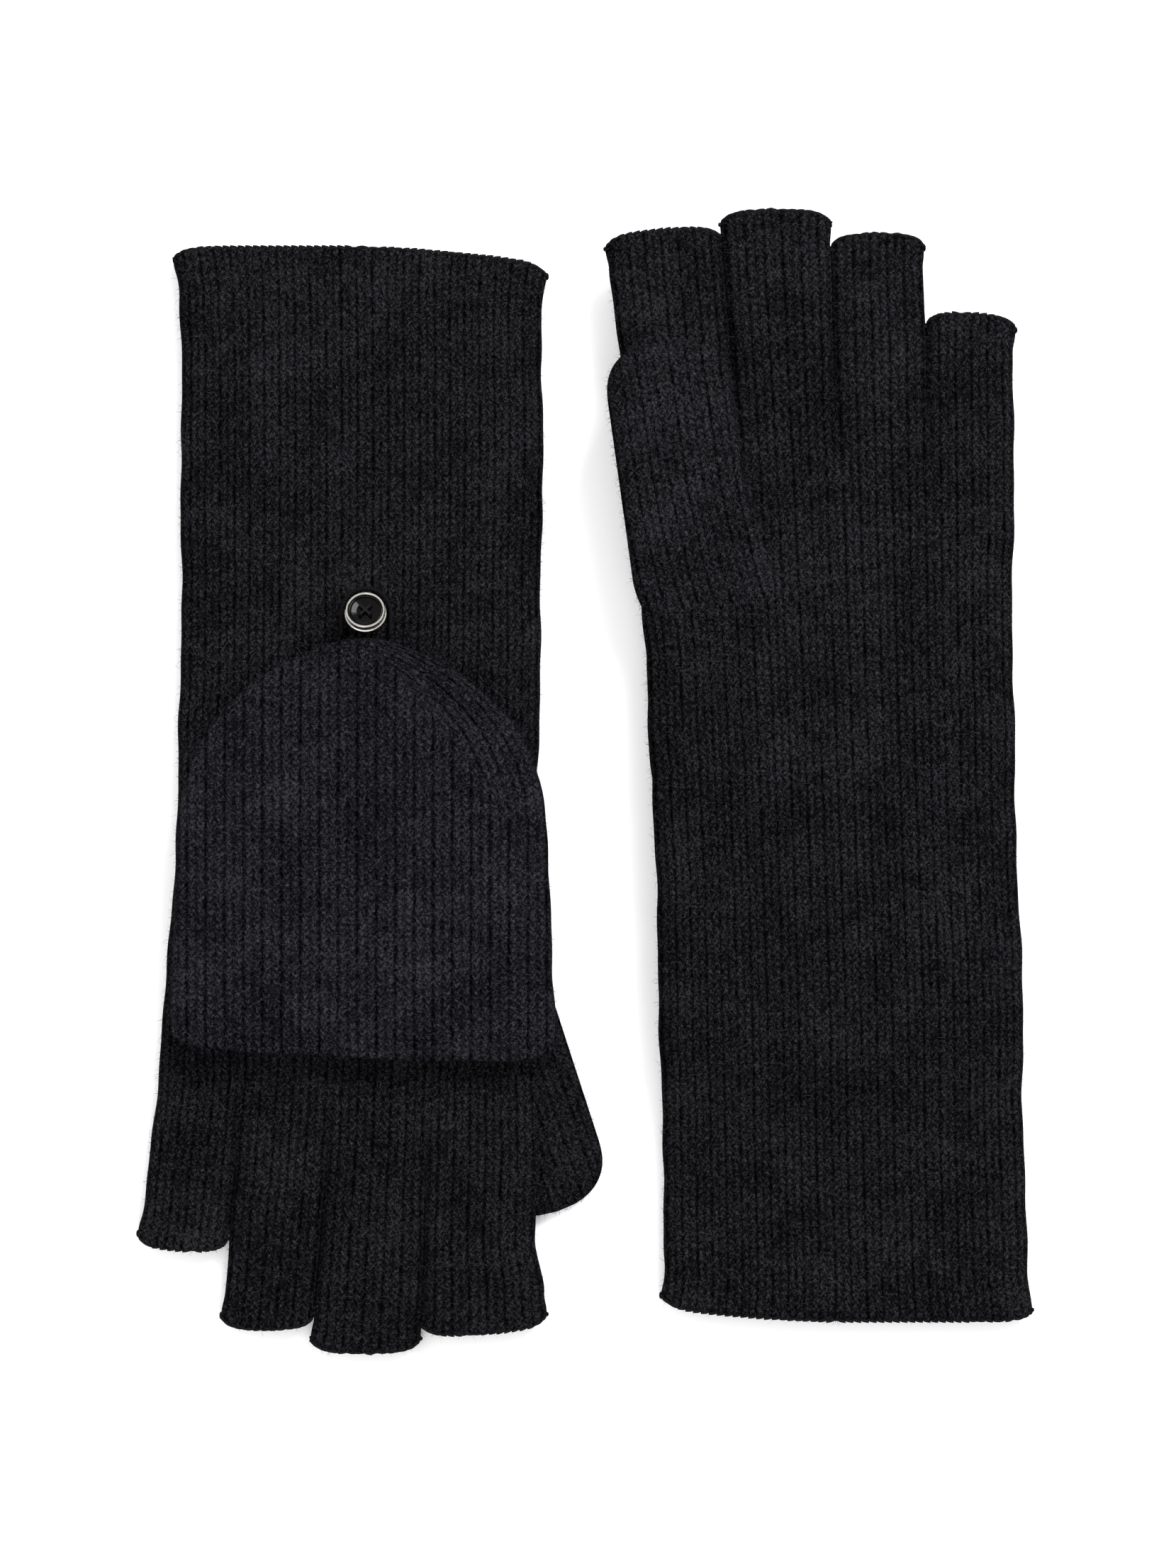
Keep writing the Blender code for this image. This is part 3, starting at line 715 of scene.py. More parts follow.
@dataclass
class KnittedHand:
    """Cuff, palm and four open fingers, knitted as one tube that forks at the fingers.

    Four strips run from the cuff to the finger tips, top and bottom. Neighbouring strips share
    their border up to the fork between two fingers, where the crease has closed the tube.
    """

    place: GlovePlace
    lean: float
    bow: float
    press: float
    sag: float
    thumb_root: tuple[float, float]
    thumb_angle: float
    index_flare: float
    cuff_rise: tuple[float, float]
    thick: float = 9.6 * MM
    flattest: float = 2.6 * MM
    wall: float = 1.8 * MM
    edge: float = 6.5 * MM
    crease: float = 9.5 * MM
    rib: float = 2.07 * MM
    course: float = 1.8 * MM
    rib_height: float = 0.34 * MM
    cuff: float = -136.5 * MM
    knuckles: float = 100.0 * MM
    common: float = 107.5 * MM
    ribs: tuple[int, ...] = (14, 12, 11, 11)
    samples: int = 4
    widths: tuple[float, ...] = (28.35 * MM, 25.6 * MM, 23.4 * MM, 22.25 * MM)
    lengths: tuple[float, ...] = (39.8 * MM, 44.8 * MM, 38.8 * MM, 18.5 * MM)
    splays: tuple[tuple[float, float], ...] = (
        (-1.5 * MM, -1.75 * MM), (-1.1 * MM, 0.55 * MM), (1.35 * MM, 0.45 * MM), (1.25 * MM, 0.55 * MM),
    )
    forks: tuple[float, ...] = (107.0 * MM, 103.0 * MM, 100.5 * MM)
    fork_overlap: float = 0.12 * MM
    sag_run: tuple[float, float] = (-52.0 * MM, -97.0 * MM)
    lean_length: float = 133.0 * MM
    cuff_bow_width: float = 48.0 * MM
    cuff_lining: float = 40.0 * MM
    finger_lining: float = 16.0 * MM
    outline: tuple[tuple[float, float], ...] = (
        (-136.5 * MM, 47.8 * MM), (-126.0 * MM, 46.4 * MM), (0.0, 46.0 * MM),
        (35.0 * MM, 46.8 * MM), (70.0 * MM, 48.3 * MM), (100.0 * MM, 49.8 * MM),
    )
    lips: list[np.ndarray] = field(default_factory=list)

    def middle(self, y: float) -> float:
        """Sideways place of the glove's middle line at y."""
        t = y / self.lean_length
        return self.lean * t + self.bow * t * t

    def half(self, y: float) -> float:
        """Half of the hand's width at y."""
        table = np.array(self.outline)
        return float(np.interp(y, table[:, 0], table[:, 1]))

    def lift(self, u: np.ndarray, y: float) -> np.ndarray:
        """How far a thumb pressed under the palm lifts it.

        Args:
            u: Places across the hand.
            y: Place along the hand.

        Returns:
            The lift at each place.
        """
        if not self.press:
            return np.zeros_like(u)
        du, dy = u - self.thumb_root[0], y - self.thumb_root[1]
        s, c = math.sin(self.thumb_angle), math.cos(self.thumb_angle)
        along, across = c * dy - s * du, c * du + s * dy
        rise = self.press * (1.0 - ease(18.0 * MM, 36.0 * MM, across))
        rise = rise * ease(-26.0 * MM, -10.0 * MM, along)
        return rise * (1.0 - ease(67.0 * MM, 76.0 * MM, along))

    def border(self, index: int, y: float) -> float:
        """A line between strips where the hand is still whole, at y."""
        whole = sum(self.widths)
        share = sum(self.widths[:index]) / whole
        return self.middle(y) + self.half(y) * (2.0 * share - 1.0)

    def sides(self, finger: int, y: float) -> tuple[float, float]:
        """A strip's two sides at y.

        Args:
            finger: 0 for the index finger to 3 for the little one.
            y: Place along the hand.

        Returns:
            The two places across the hand.
        """
        if y <= self.knuckles:
            left, right = self.border(finger, y), self.border(finger + 1, y)
        else:
            left, right = self.splayed(finger, 0, y), self.splayed(finger, 1, y)
            if finger > 0:
                left = self.parted(finger - 1, y, left, self.splayed(finger - 1, 1, y))
            if finger < 3:
                right = self.parted(finger, y, right, self.splayed(finger + 1, 0, y))
        if finger == 0:
            left += self.frayed(y, 0.7)
        if finger == 3:
            right += self.frayed(y, 2.9)
        return left, right

    def splayed(self, finger: int, side: int, y: float) -> float:
        """A finger's side as it splays out towards its open end."""
        start = self.border(finger + side, self.knuckles)
        end = self.knuckles + self.lengths[finger]
        share = (y - self.knuckles) / self.lengths[finger]
        flare = (2 * side - 1) * 0.5 * MM * ease(end - 6.0 * MM, end, y)
        if finger == 0 and side == 0:
            flare -= self.index_flare * ease(end - 24.0 * MM, end - 7.0 * MM, y)
        drift = self.middle(y) - self.middle(self.knuckles)
        return float(start + self.splays[finger][side] * share + drift + flare)

    def parted(self, fork: int, y: float, own: float, other: float) -> float:
        """Keep neighbouring fingers on one line up to their fork, and part them after it."""
        shared = (own + other) / 2.0
        if y <= self.forks[fork] + 1e-9:
            return shared
        slit = self.fork_overlap * (-1.0 if own > other else 1.0)
        tip = self.knuckles + min(self.lengths[fork], self.lengths[fork + 1])
        return shared + (own - shared) * float(ease(tip - 9.0 * MM, tip + 4.0 * MM, y)) + slit

    def frayed(self, y: float, seed: float) -> float:
        """Slight unevenness of the glove's outer sides."""
        return float(0.45 * MM * ripple(y, 61.0 * MM, seed + self.origin_seed))

    @property
    def origin_seed(self) -> float:
        """Makes the two gloves uneven in different ways."""
        return 0.0 if self.place.hand is Hand.RIGHT else 3.7

    def strip(self, finger: int, y: float, inset: float = 0.0) -> tuple[np.ndarray, np.ndarray]:
        """The top and bottom of one strip at y.

        Args:
            finger: Which strip.
            y: Place along the hand.
            inset: Distance inward from the outer face, for the lining side.

        Returns:
            Two rows of points in the glove's frame, top then bottom.
        """
        left, right = self.sides(finger, y)
        count = self.ribs[finger] * self.samples + 1
        share = np.linspace(0.0, 1.0, count)
        u = left + (right - left) * share
        low = np.minimum(self.lift(u, y), self.thick - self.flattest)
        mid, half = (low + self.thick) / 2.0, (self.thick - low) / 2.0
        puff = np.ones(count)
        for side, gap in ((0, u - left), (1, right - u)):
            fork = finger - 1 + side
            if fork in (-1, 3):
                deep, wide = 1.0, self.edge
            else:
                deep = float(ease(self.forks[fork] - 46.0 * MM, self.forks[fork], y)) ** 2.2
                wide = self.crease
            near = 1.0 - np.clip(gap / wide, 0.0, 1.0)
            puff = puff * (1.0 - deep * (1.0 - np.sqrt(np.clip(1.0 - near * near, 0.0, 1.0))))
        number = sum(self.ribs[:finger]) + share * self.ribs[finger]
        ridge = rib_ridge(number)
        swell = 0.35 * MM * ripple(u * 1.4 + y * 0.6, 47.0 * MM, 1.0 + self.origin_seed)
        swell = swell + 0.3 * MM * ripple(y * 1.2 - u * 0.5, 33.0 * MM, 2.0 + self.origin_seed)
        height = half * puff + (self.rib_height * ridge - 0.2 * MM + swell * 0.6) * puff
        if inset:
            centre = (left + right) / 2.0
            u = centre + (u - centre) * (1.0 - 2.0 * inset / (right - left))
            height = np.maximum(half - inset, 0.3 * MM) * puff * (1.0 - 0.2 * inset / self.wall)
        drop = self.sag * float(ease(*self.sag_run, y))
        along = self.bent(u, y, finger)
        top = np.stack([u, along, mid + height + drop], axis=-1)
        low_height = np.minimum(height, half)
        bottom = np.stack([u, along, mid - low_height + drop], axis=-1)
        return top, bottom

    def bent(self, u: np.ndarray, y: float, finger: int) -> np.ndarray:
        """Bow the cuff's edge and round the finger ends.

        Args:
            u: Places across the hand.
            y: Place along the hand before bending.
            finger: Which strip.

        Returns:
            Place along the hand after bending, for each u.
        """
        low, high = self.cuff_rise
        aside = u / self.cuff_bow_width
        arc = low * np.clip(-aside, 0.0, 1.2) ** 1.6 + high * np.clip(aside, 0.0, 1.2) ** 1.6
        along = y + arc * float(1.0 - ease(self.cuff, self.cuff + 45.0 * MM, y))
        corner = np.abs((u - self.middle(y)) / self.half(y)) ** 18
        along = along + 2.4 * MM * corner * float(1.0 - ease(self.cuff, self.cuff + 9.0 * MM, y))
        end = self.knuckles + self.lengths[finger]
        if y > self.knuckles:
            left, right = self.sides(finger, y)
            across = (2.0 * u - left - right) / (right - left)
            skew = -0.7 * MM * across if finger == 3 else 0.0
            skew = skew + (1.2 * MM * across if finger == 0 else 0.0)
            round_off = -1.1 * MM * across * across - 2.0 * MM * np.abs(across) ** 9 + skew
            along = along + round_off * float(ease(end - 16.0 * MM, end, y))
        return along

    def stations(self, finger: int) -> list[float]:
        """Places along the hand where a strip has its rows."""
        body = list(np.linspace(self.cuff, self.knuckles, 146))
        shared = [self.knuckles + 1.25 * MM * i for i in range(1, 7)]
        shared = sorted(set([round(y, 7) for y in shared + list(self.forks)]))
        tip = self.knuckles + self.lengths[finger]
        count = int((tip - self.common) / (1.3 * MM)) + 2
        return body + shared + list(np.linspace(self.common, tip, count))[1:]

    def courses(self, finger: int, row: float, columns: int) -> np.ndarray:
        """The rib-and-course map of one row of points.

        Args:
            finger: Which strip.
            row: Distance of the row along the yarn's courses.
            columns: Number of points.

        Returns:
            Rib and course number of each point.
        """
        rib = sum(self.ribs[:finger]) + np.linspace(0.0, self.ribs[finger], columns)
        return np.stack([rib, np.full(columns, row / self.course)], axis=-1)

    def opening(self, skin: Skin, fingers: list[int], y: float, out: float, depth: float) -> None:
        """Roll an opening's edge over and run the lining side in from it.

        Args:
            skin: The surface being built.
            fingers: The strips that the opening spans.
            y: Where the outer face ends.
            out: +1 where the opening faces the finger tips, -1 at the cuff.
            depth: How far the lining side runs in.
        """
        steps = [(0.0, 0.0), (0.55 * MM, 0.45 * MM), (0.75 * MM, 1.0 * MM), (0.3 * MM, 1.5 * MM)]
        inner = [(-depth * t, self.wall) for t in (0.05, 0.3, 0.65, 1.0)]
        for finger in fingers:
            sheets = Sheets()
            for shift, inset in steps + inner:
                inside = y + out * min(shift, 0.0)
                top, bottom = self.strip(finger, inside, inset)
                if len(fingers) > 1 and inset:
                    top, bottom = self.across(top, bottom, inset)
                for row in (top, bottom):
                    row[:, 1] += out * max(shift, 0.0)
                knit = self.courses(finger, y + out * (shift + inset), len(top))
                sheets.add(self.place.world(top), self.place.world(bottom), knit)
            sheets.put_on(skin)
            sheets.join(skin, -1)
        self.lips.append(self.lip(fingers, y, out))

    def across(self, top: np.ndarray, bottom: np.ndarray, inset: float) -> tuple[np.ndarray, np.ndarray]:
        """Undo a single strip's inset and apply it to the whole hand's width instead."""
        y = float(top[len(top) // 2, 1])
        centre, half = self.middle(y), self.half(y)
        for row in (top, bottom):
            left, right = row[0, 0], row[-1, 0]
            middle = (left + right) / 2.0
            width = right - left + 2.0 * inset
            wide = middle + (row[:, 0] - middle) * width / (right - left)
            row[:, 0] = centre + (wide - centre) * (1.0 - inset / half)
        return top, bottom

    def lip(self, fingers: list[int], y: float, out: float) -> np.ndarray:
        """The closed line along an opening's crest, in the shared frame."""
        tops, bottoms = [], []
        for finger in fingers:
            top, bottom = self.strip(finger, y)
            tops.append(top[:-1])
            bottoms.append(bottom[1:])
        top, bottom = np.concatenate(tops), np.concatenate(bottoms)
        ring = np.concatenate([top, bottom[::-1]])[::2]
        centre = ring.mean(axis=0)
        ring[:, 2] = centre[2] + (ring[:, 2] - centre[2]) * 0.86
        ring[:, 1] += out * 0.35 * MM
        return self.place.world(ring)

    def build(self) -> bpy.types.Object:
        """Knit the hand.

        Returns:
            The hand with its fingers, one closed surface.
        """
        skin = Skin()
        for finger in range(4):
            sheets = Sheets()
            for y in self.stations(finger):
                top, bottom = self.strip(finger, y)
                sheets.add(self.place.world(top), self.place.world(bottom), self.courses(finger, y, len(top)))
            sheets.put_on(skin)
            self.opening(skin, [finger], self.knuckles + self.lengths[finger], 1.0, self.finger_lining)
        self.opening(skin, [0, 1, 2, 3], self.cuff, -1.0, self.cuff_lining)
        return skin.close(f"{self.place.name}_knitted_hand")

    def dress(self, piece: bpy.types.Object) -> bpy.types.Object:
        """Give the hand its yarn and put it on its body."""
        dress(piece, HAND_KNIT)
        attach(piece, self.place.glove_body)
        name = self.place.name
        fingers = (f"{name}_{finger}_finger" for finger in ("index", "middle", "ring", "little"))
        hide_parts(f"{name}_hand", *fingers)
        return piece

    def detail(self, piece: bpy.types.Object) -> list[bpy.types.Object]:
        """Add the bound-off edges and the fibres."""
        chain = ChainEdge().build(self.lips, f"{self.place.name}_bound_off_edges")
        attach(chain, self.place.glove_body)
        fuzz = Fuzz(count=13000, seed=11).dress(
            piece, f"{self.place.name}_hand_fibres", "knit", self.place.glove_body
        )
        return [chain, fuzz]


@dataclass
class Pouch:
    """A flat closed pocket of rib knit on a straight line: a thumb, or the flip cap."""

    place: GlovePlace
    name: str
    root: tuple[float, float]
    angle: float
    length: float
    start: float
    half: Callable[[float], float]
    low: Callable[[float], float]
    high: Callable[[float], float]
    shift: Callable[[float], float] = lambda s: 0.0
    edge: float = 6.0 * MM
    rib: float = 2.07 * MM
    course: float = 1.8 * MM
    rib_height: float = 0.34 * MM
    columns: int = 64
    rows: int = 56
    decrease: float = 0.0
    open_end: bool = False
    mouth_skew: float = 0.0
    seed: float = 0.0
    roll_steps: tuple[tuple[float, float], ...] = (
        (0.0, 0.0), (0.45 * MM, 0.15 * MM), (0.85 * MM, 0.55 * MM), (1.0 * MM, 1.1 * MM),
        (0.75 * MM, 1.7 * MM), (0.2 * MM, 2.15 * MM),
    )
    lining: float = 2.2 * MM
    lining_steps: tuple[float, ...] = (0.04, 0.2, 0.45, 0.7, 0.85)

    def faces(self, s: float, inset: float = 0.0) -> tuple[np.ndarray, np.ndarray, np.ndarray]:
        """The upper and lower rows of points at a distance along the pouch.

        Args:
            s: Distance from the root.
            inset: Distance inward from the outer face.

        Returns:
            Upper row, lower row, and the rib number of each point.
        """
        share = np.linspace(-1.0, 1.0, self.columns + 1)
        width = max(float(self.half(s)), 0.01 * MM)
        low, high = float(self.low(s)), float(self.high(s))
        mid, half = (low + high) / 2.0, (high - low) / 2.0
        across = share * width
        full = float(self.half(self.start + self.length * 0.45))
        number = across / self.rib
        if self.decrease:
            lost = max(0.0, full - width)
            number = np.where(
                -across > self.decrease * s + 1.5 * MM,
                np.sign(across) * (np.abs(across) + lost) / self.rib, number,
            )
        near = 1.0 - np.clip((width - np.abs(across)) / min(self.edge, width), 0.0, 1.0)
        puff = np.sqrt(np.clip(1.0 - near ** 2, 0.0, 1.0))
        ridge = rib_ridge(number)
        swell = 0.4 * MM * ripple(across * 1.3 + s * 0.7, 41.0 * MM, self.seed)
        top = half * puff + (self.rib_height * ridge - 0.2 * MM + swell) * puff * min(1.0, half / (2.0 * MM))
        base = half * puff
        if inset:
            across = across * max(0.0, 1.0 - inset / width)
            top = np.maximum(half - inset, 0.2 * MM) * puff
            base = top
        sin, cos = math.sin(self.angle), math.cos(self.angle)
        if self.open_end:
            end = self.start + self.length
            wave = 0.7 * MM * ripple(across, 83.0 * MM, 2.2) - 4.0 * MM * np.abs(share) ** 11
            wave = wave - self.mouth_skew * share
            s = s + wave * float(ease(end - 34.0 * MM, end, s))
        across = across + self.shift(s)
        u = self.root[0] - sin * s + cos * across
        y = self.root[1] + cos * s + sin * across
        upper = np.stack([u, y, mid + top], axis=-1)
        lower = np.stack([u, y, mid - base], axis=-1)
        return upper, lower, number

    def build(self) -> bpy.types.Object:
        """Knit the pouch.

        Returns:
            The pouch as one closed surface.
        """
        skin = Skin()
        sheets = Sheets()
        for t in np.linspace(0.0, 1.0, self.rows + 1):
            self.add(sheets, self.start + self.length * self.paced(float(t)), 0.0, 0.0)
        sheets.put_on(skin)
        sheets.join(skin, 0)
        if self.open_end:
            self.roll(skin)
        else:
            sheets.join(skin, -1)
        return skin.close(f"{self.place.name}_{self.name}")

    def paced(self, t: float) -> float:
        """Bunch the rows where the outline is round."""
        if self.open_end:
            return t ** 1.35
        return math.sin(0.5 * math.pi * t) * 0.6 + 0.4 * t

    def add(self, sheets: Sheets, s: float, inset: float, shift: float) -> None:
        """Add the row at s to the sheets, moved along by shift."""
        high, low, number = self.faces(s, inset)
        for row in (high, low):
            row[:, 1] += shift * math.cos(self.angle)
        knit = np.stack([number, np.full(len(number), (s + shift) / self.course)], axis=-1)
        sheets.add(self.place.world(high), self.place.world(low), knit)

    def roll(self, skin: Skin) -> None:
        """Roll the mouth's edge over and run the lining side in."""
        end = self.start + self.length
        sheets = Sheets()
        for shift, inset in self.roll_steps:
            self.add(sheets, end, inset, shift)
        for t in self.lining_steps:
            self.add(sheets, end - self.length * t, self.lining, 0.0)
        sheets.put_on(skin)
        sheets.join(skin, -1)


@dataclass
class Thumb:
    """The closed thumb of one glove."""

    place: GlovePlace
    root: tuple[float, float]
    angle: float
    low: tuple[float, float]
    high: tuple[float, float]
    half: float = 15.7 * MM
    start: float = -8.0 * MM
    length: float = 75.0 * MM
    tip: float = 15.0 * MM
    merge: float = 26.0 * MM
    heel: float = 0.0

    def width(self, s: float) -> float:
        """Half of the thumb's width at s, rounded in at its tip."""
        end = self.start + self.length
        near = max(0.0, 1.0 - (end - s) / self.tip)
        spread, tuck = self.heel_at(s)
        return (self.half + spread - tuck / 2.0) * max(0.0, 1.0 - near ** 2.6) ** 0.45

    def heel_at(self, s: float) -> tuple[float, float]:
        """How far the gusset spreads the inner side at s, and how far the outer side tucks in."""
        spread = self.heel * (1.0 - float(ease(self.start + 6.0 * MM, self.start + self.merge + 8.0 * MM, s)))
        return spread, 2.0 * self.heel * (1.0 - float(ease(self.start, self.start + 22.0 * MM, s)))

    def lean(self, s: float) -> float:
        """How far the gusset moves the thumb's own middle line at s."""
        spread, tuck = self.heel_at(s)
        return spread + tuck / 2.0

    def thick(self, s: float) -> float:
        """Share of the thumb's full thickness at s."""
        end = self.start + self.length
        near = max(0.0, 1.0 - (end - s) / (9.0 * MM))
        return float(ease(self.start, self.start + self.merge, s)) * math.sqrt(max(0.0, 1.0 - near * near))

    def build(self) -> bpy.types.Object:
        """Knit the thumb, its root let into the palm."""
        low_root, low_end = self.low
        high_root, high_end = self.high
        pouch = Pouch(
            self.place, "knitted_thumb", self.root, self.angle, self.length, self.start,
            half=self.width,
            low=lambda s: low_root + (low_end - low_root) * self.thick(s),
            high=lambda s: high_root + (high_end - high_root) * self.thick(s),
            shift=self.lean, columns=68, rows=70, seed=1.3,
        )
        return pouch.build()

    def dress(self, piece: bpy.types.Object) -> bpy.types.Object:
        """Give the thumb its yarn and fibres and put them on the glove's body."""
        # The left thumb takes the lit copy of the yarn, painted paler for the light it catches standing proud
        # of the palm
        dress(piece, LIT_THUMB_KNIT if self.place.hand is Hand.LEFT else HAND_KNIT)
        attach(piece, self.place.glove_body)
        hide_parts(f"{self.place.name}_thumb")
        Fuzz(count=2600, seed=23).dress(
            piece, f"{self.place.name}_thumb_fibres", "knit", self.place.glove_body
        )
        return piece


@dataclass
class FlipCap:
    """The mitten cap, a pocket folded back over the hand, and the band that hinges it."""

    place: GlovePlace
    centre: float
    tip_y: float
    low: float
    high: float
    length: float = 105.65 * MM
    half: float = 46.5 * MM
    mouth_half: float = 49.4 * MM
    round_length: float = 46.0 * MM
    power: float = 0.62
    droop: float = 2.7 * MM
    band_half: float = 44.4 * MM

    def width(self, s: float) -> float:
        """Half of the cap's width at a distance from its very tip."""
        near = min(s, self.round_length) / self.round_length
        wide = self.half * max(0.0, 1.0 - (1.0 - near) ** 2) ** self.power
        spread = max(0.0, s - self.round_length) / (self.length - self.round_length)
        uneven = 0.4 * MM * float(ripple(s, 57.0 * MM, 1.0)) * min(1.0, s / (20.0 * MM))
        return wide + (self.mouth_half - self.half) * spread + uneven

    def thick(self, s: float) -> float:
        """Share of the cap's full thickness at s."""
        near = 1.0 - min(1.0, s / (24.0 * MM))
        return 0.12 + 0.88 * math.sqrt(max(0.0, 1.0 - near * near))

    def build(self) -> list[bpy.types.Object]:
        """Knit the cap and the hinge band."""
        middle = (self.low + self.high) / 2.0
        pouch = Pouch(
            self.place, "knitted_cap", (self.centre, self.tip_y), 0.0, self.length, 0.0,
            half=self.width,
            low=lambda s: middle + (self.low - middle) * self.thick(s) - self.droop * (1.0 - self.thick(s)),
            high=lambda s: middle + (self.high - middle) * self.thick(s) - self.droop * (1.0 - self.thick(s))
            - 1.8 * MM * float(ease(self.length - 9.0 * MM, self.length, s)),
            edge=9.0 * MM, rib=2.4 * MM, columns=188, rows=104, decrease=0.83, open_end=True, seed=0.4,
            rib_height=0.42 * MM, mouth_skew=1.8 * MM,
        )
        return [pouch.build(), self.band()]

    def band(self) -> bpy.types.Object:
        """The strip of picked-up stitches between the knuckles and the cap."""
        name = self.place.name
        low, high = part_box(f"{name}_knuckle_seam")
        ys = sorted([abs(low.y), abs(high.y)])
        start, end = ys[1] + 1.5 * MM, ys[0] - 1.0 * MM
        zs = sorted(abs(v - self.place.height) for v in (low.z, high.z))
        share = np.linspace(-1.0, 1.0, 150)
        sheets = Sheets()
        for t in np.linspace(0.0, 1.0, 14):
            y = start + (end - start) * t
            z = zs[0] - 0.2 * MM + (zs[1] + 0.9 * MM - zs[0]) * float(ease(0.1, 0.9, t))
            number = share * self.band_half / (2.07 * MM)
            ridge = 0.18 * MM * np.cos(2.0 * math.pi * number)
            u = self.centre + share * self.band_half
            upper = np.stack([u, np.full_like(u, y), z + 0.5 * MM + ridge], axis=-1)
            lower = np.stack([u, np.full_like(u, y), z - 0.3 * MM + ridge * 0.2], axis=-1)
            knit = np.stack([number, np.full(len(u), y / (1.8 * MM))], axis=-1)
            sheets.add(self.place.world(upper), self.place.world(lower), knit)
        skin = Skin()
        sheets.put_on(skin)
        for row in (0, -1):
            sheets.join(skin, row)
        for column in (0, -1):
            edge = np.array([[row[column] for row in sheet] for sheet in (sheets.upper, sheets.lower)])
            skin.patch(edge, np.array([[knit[column] for knit in sheets.maps]] * 2))
        return skin.close(f"{name}_hinge_band")

    def dress(self, pieces: list[bpy.types.Object]) -> None:
        """Give the cap and its band their finishes, and put the cap and its fibres on the cap's body."""
        cap, band = pieces
        name = self.place.name
        # The cap's knit is a lit copy, painted paler for the light it catches raised over the hand
        dress(cap, LIT_CAP_KNIT)
        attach(cap, self.place.cap_body)
        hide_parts(f"{name}_cap")
        Fuzz(count=9000, seed=31).dress(cap, f"{name}_cap_fibres", "cap_knit", self.place.cap_body)
        dress(band, HAND_KNIT)
        self.place.glove_body
        self.place.cap_body
        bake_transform(band)
        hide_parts(f"{name}_knuckle_seam")


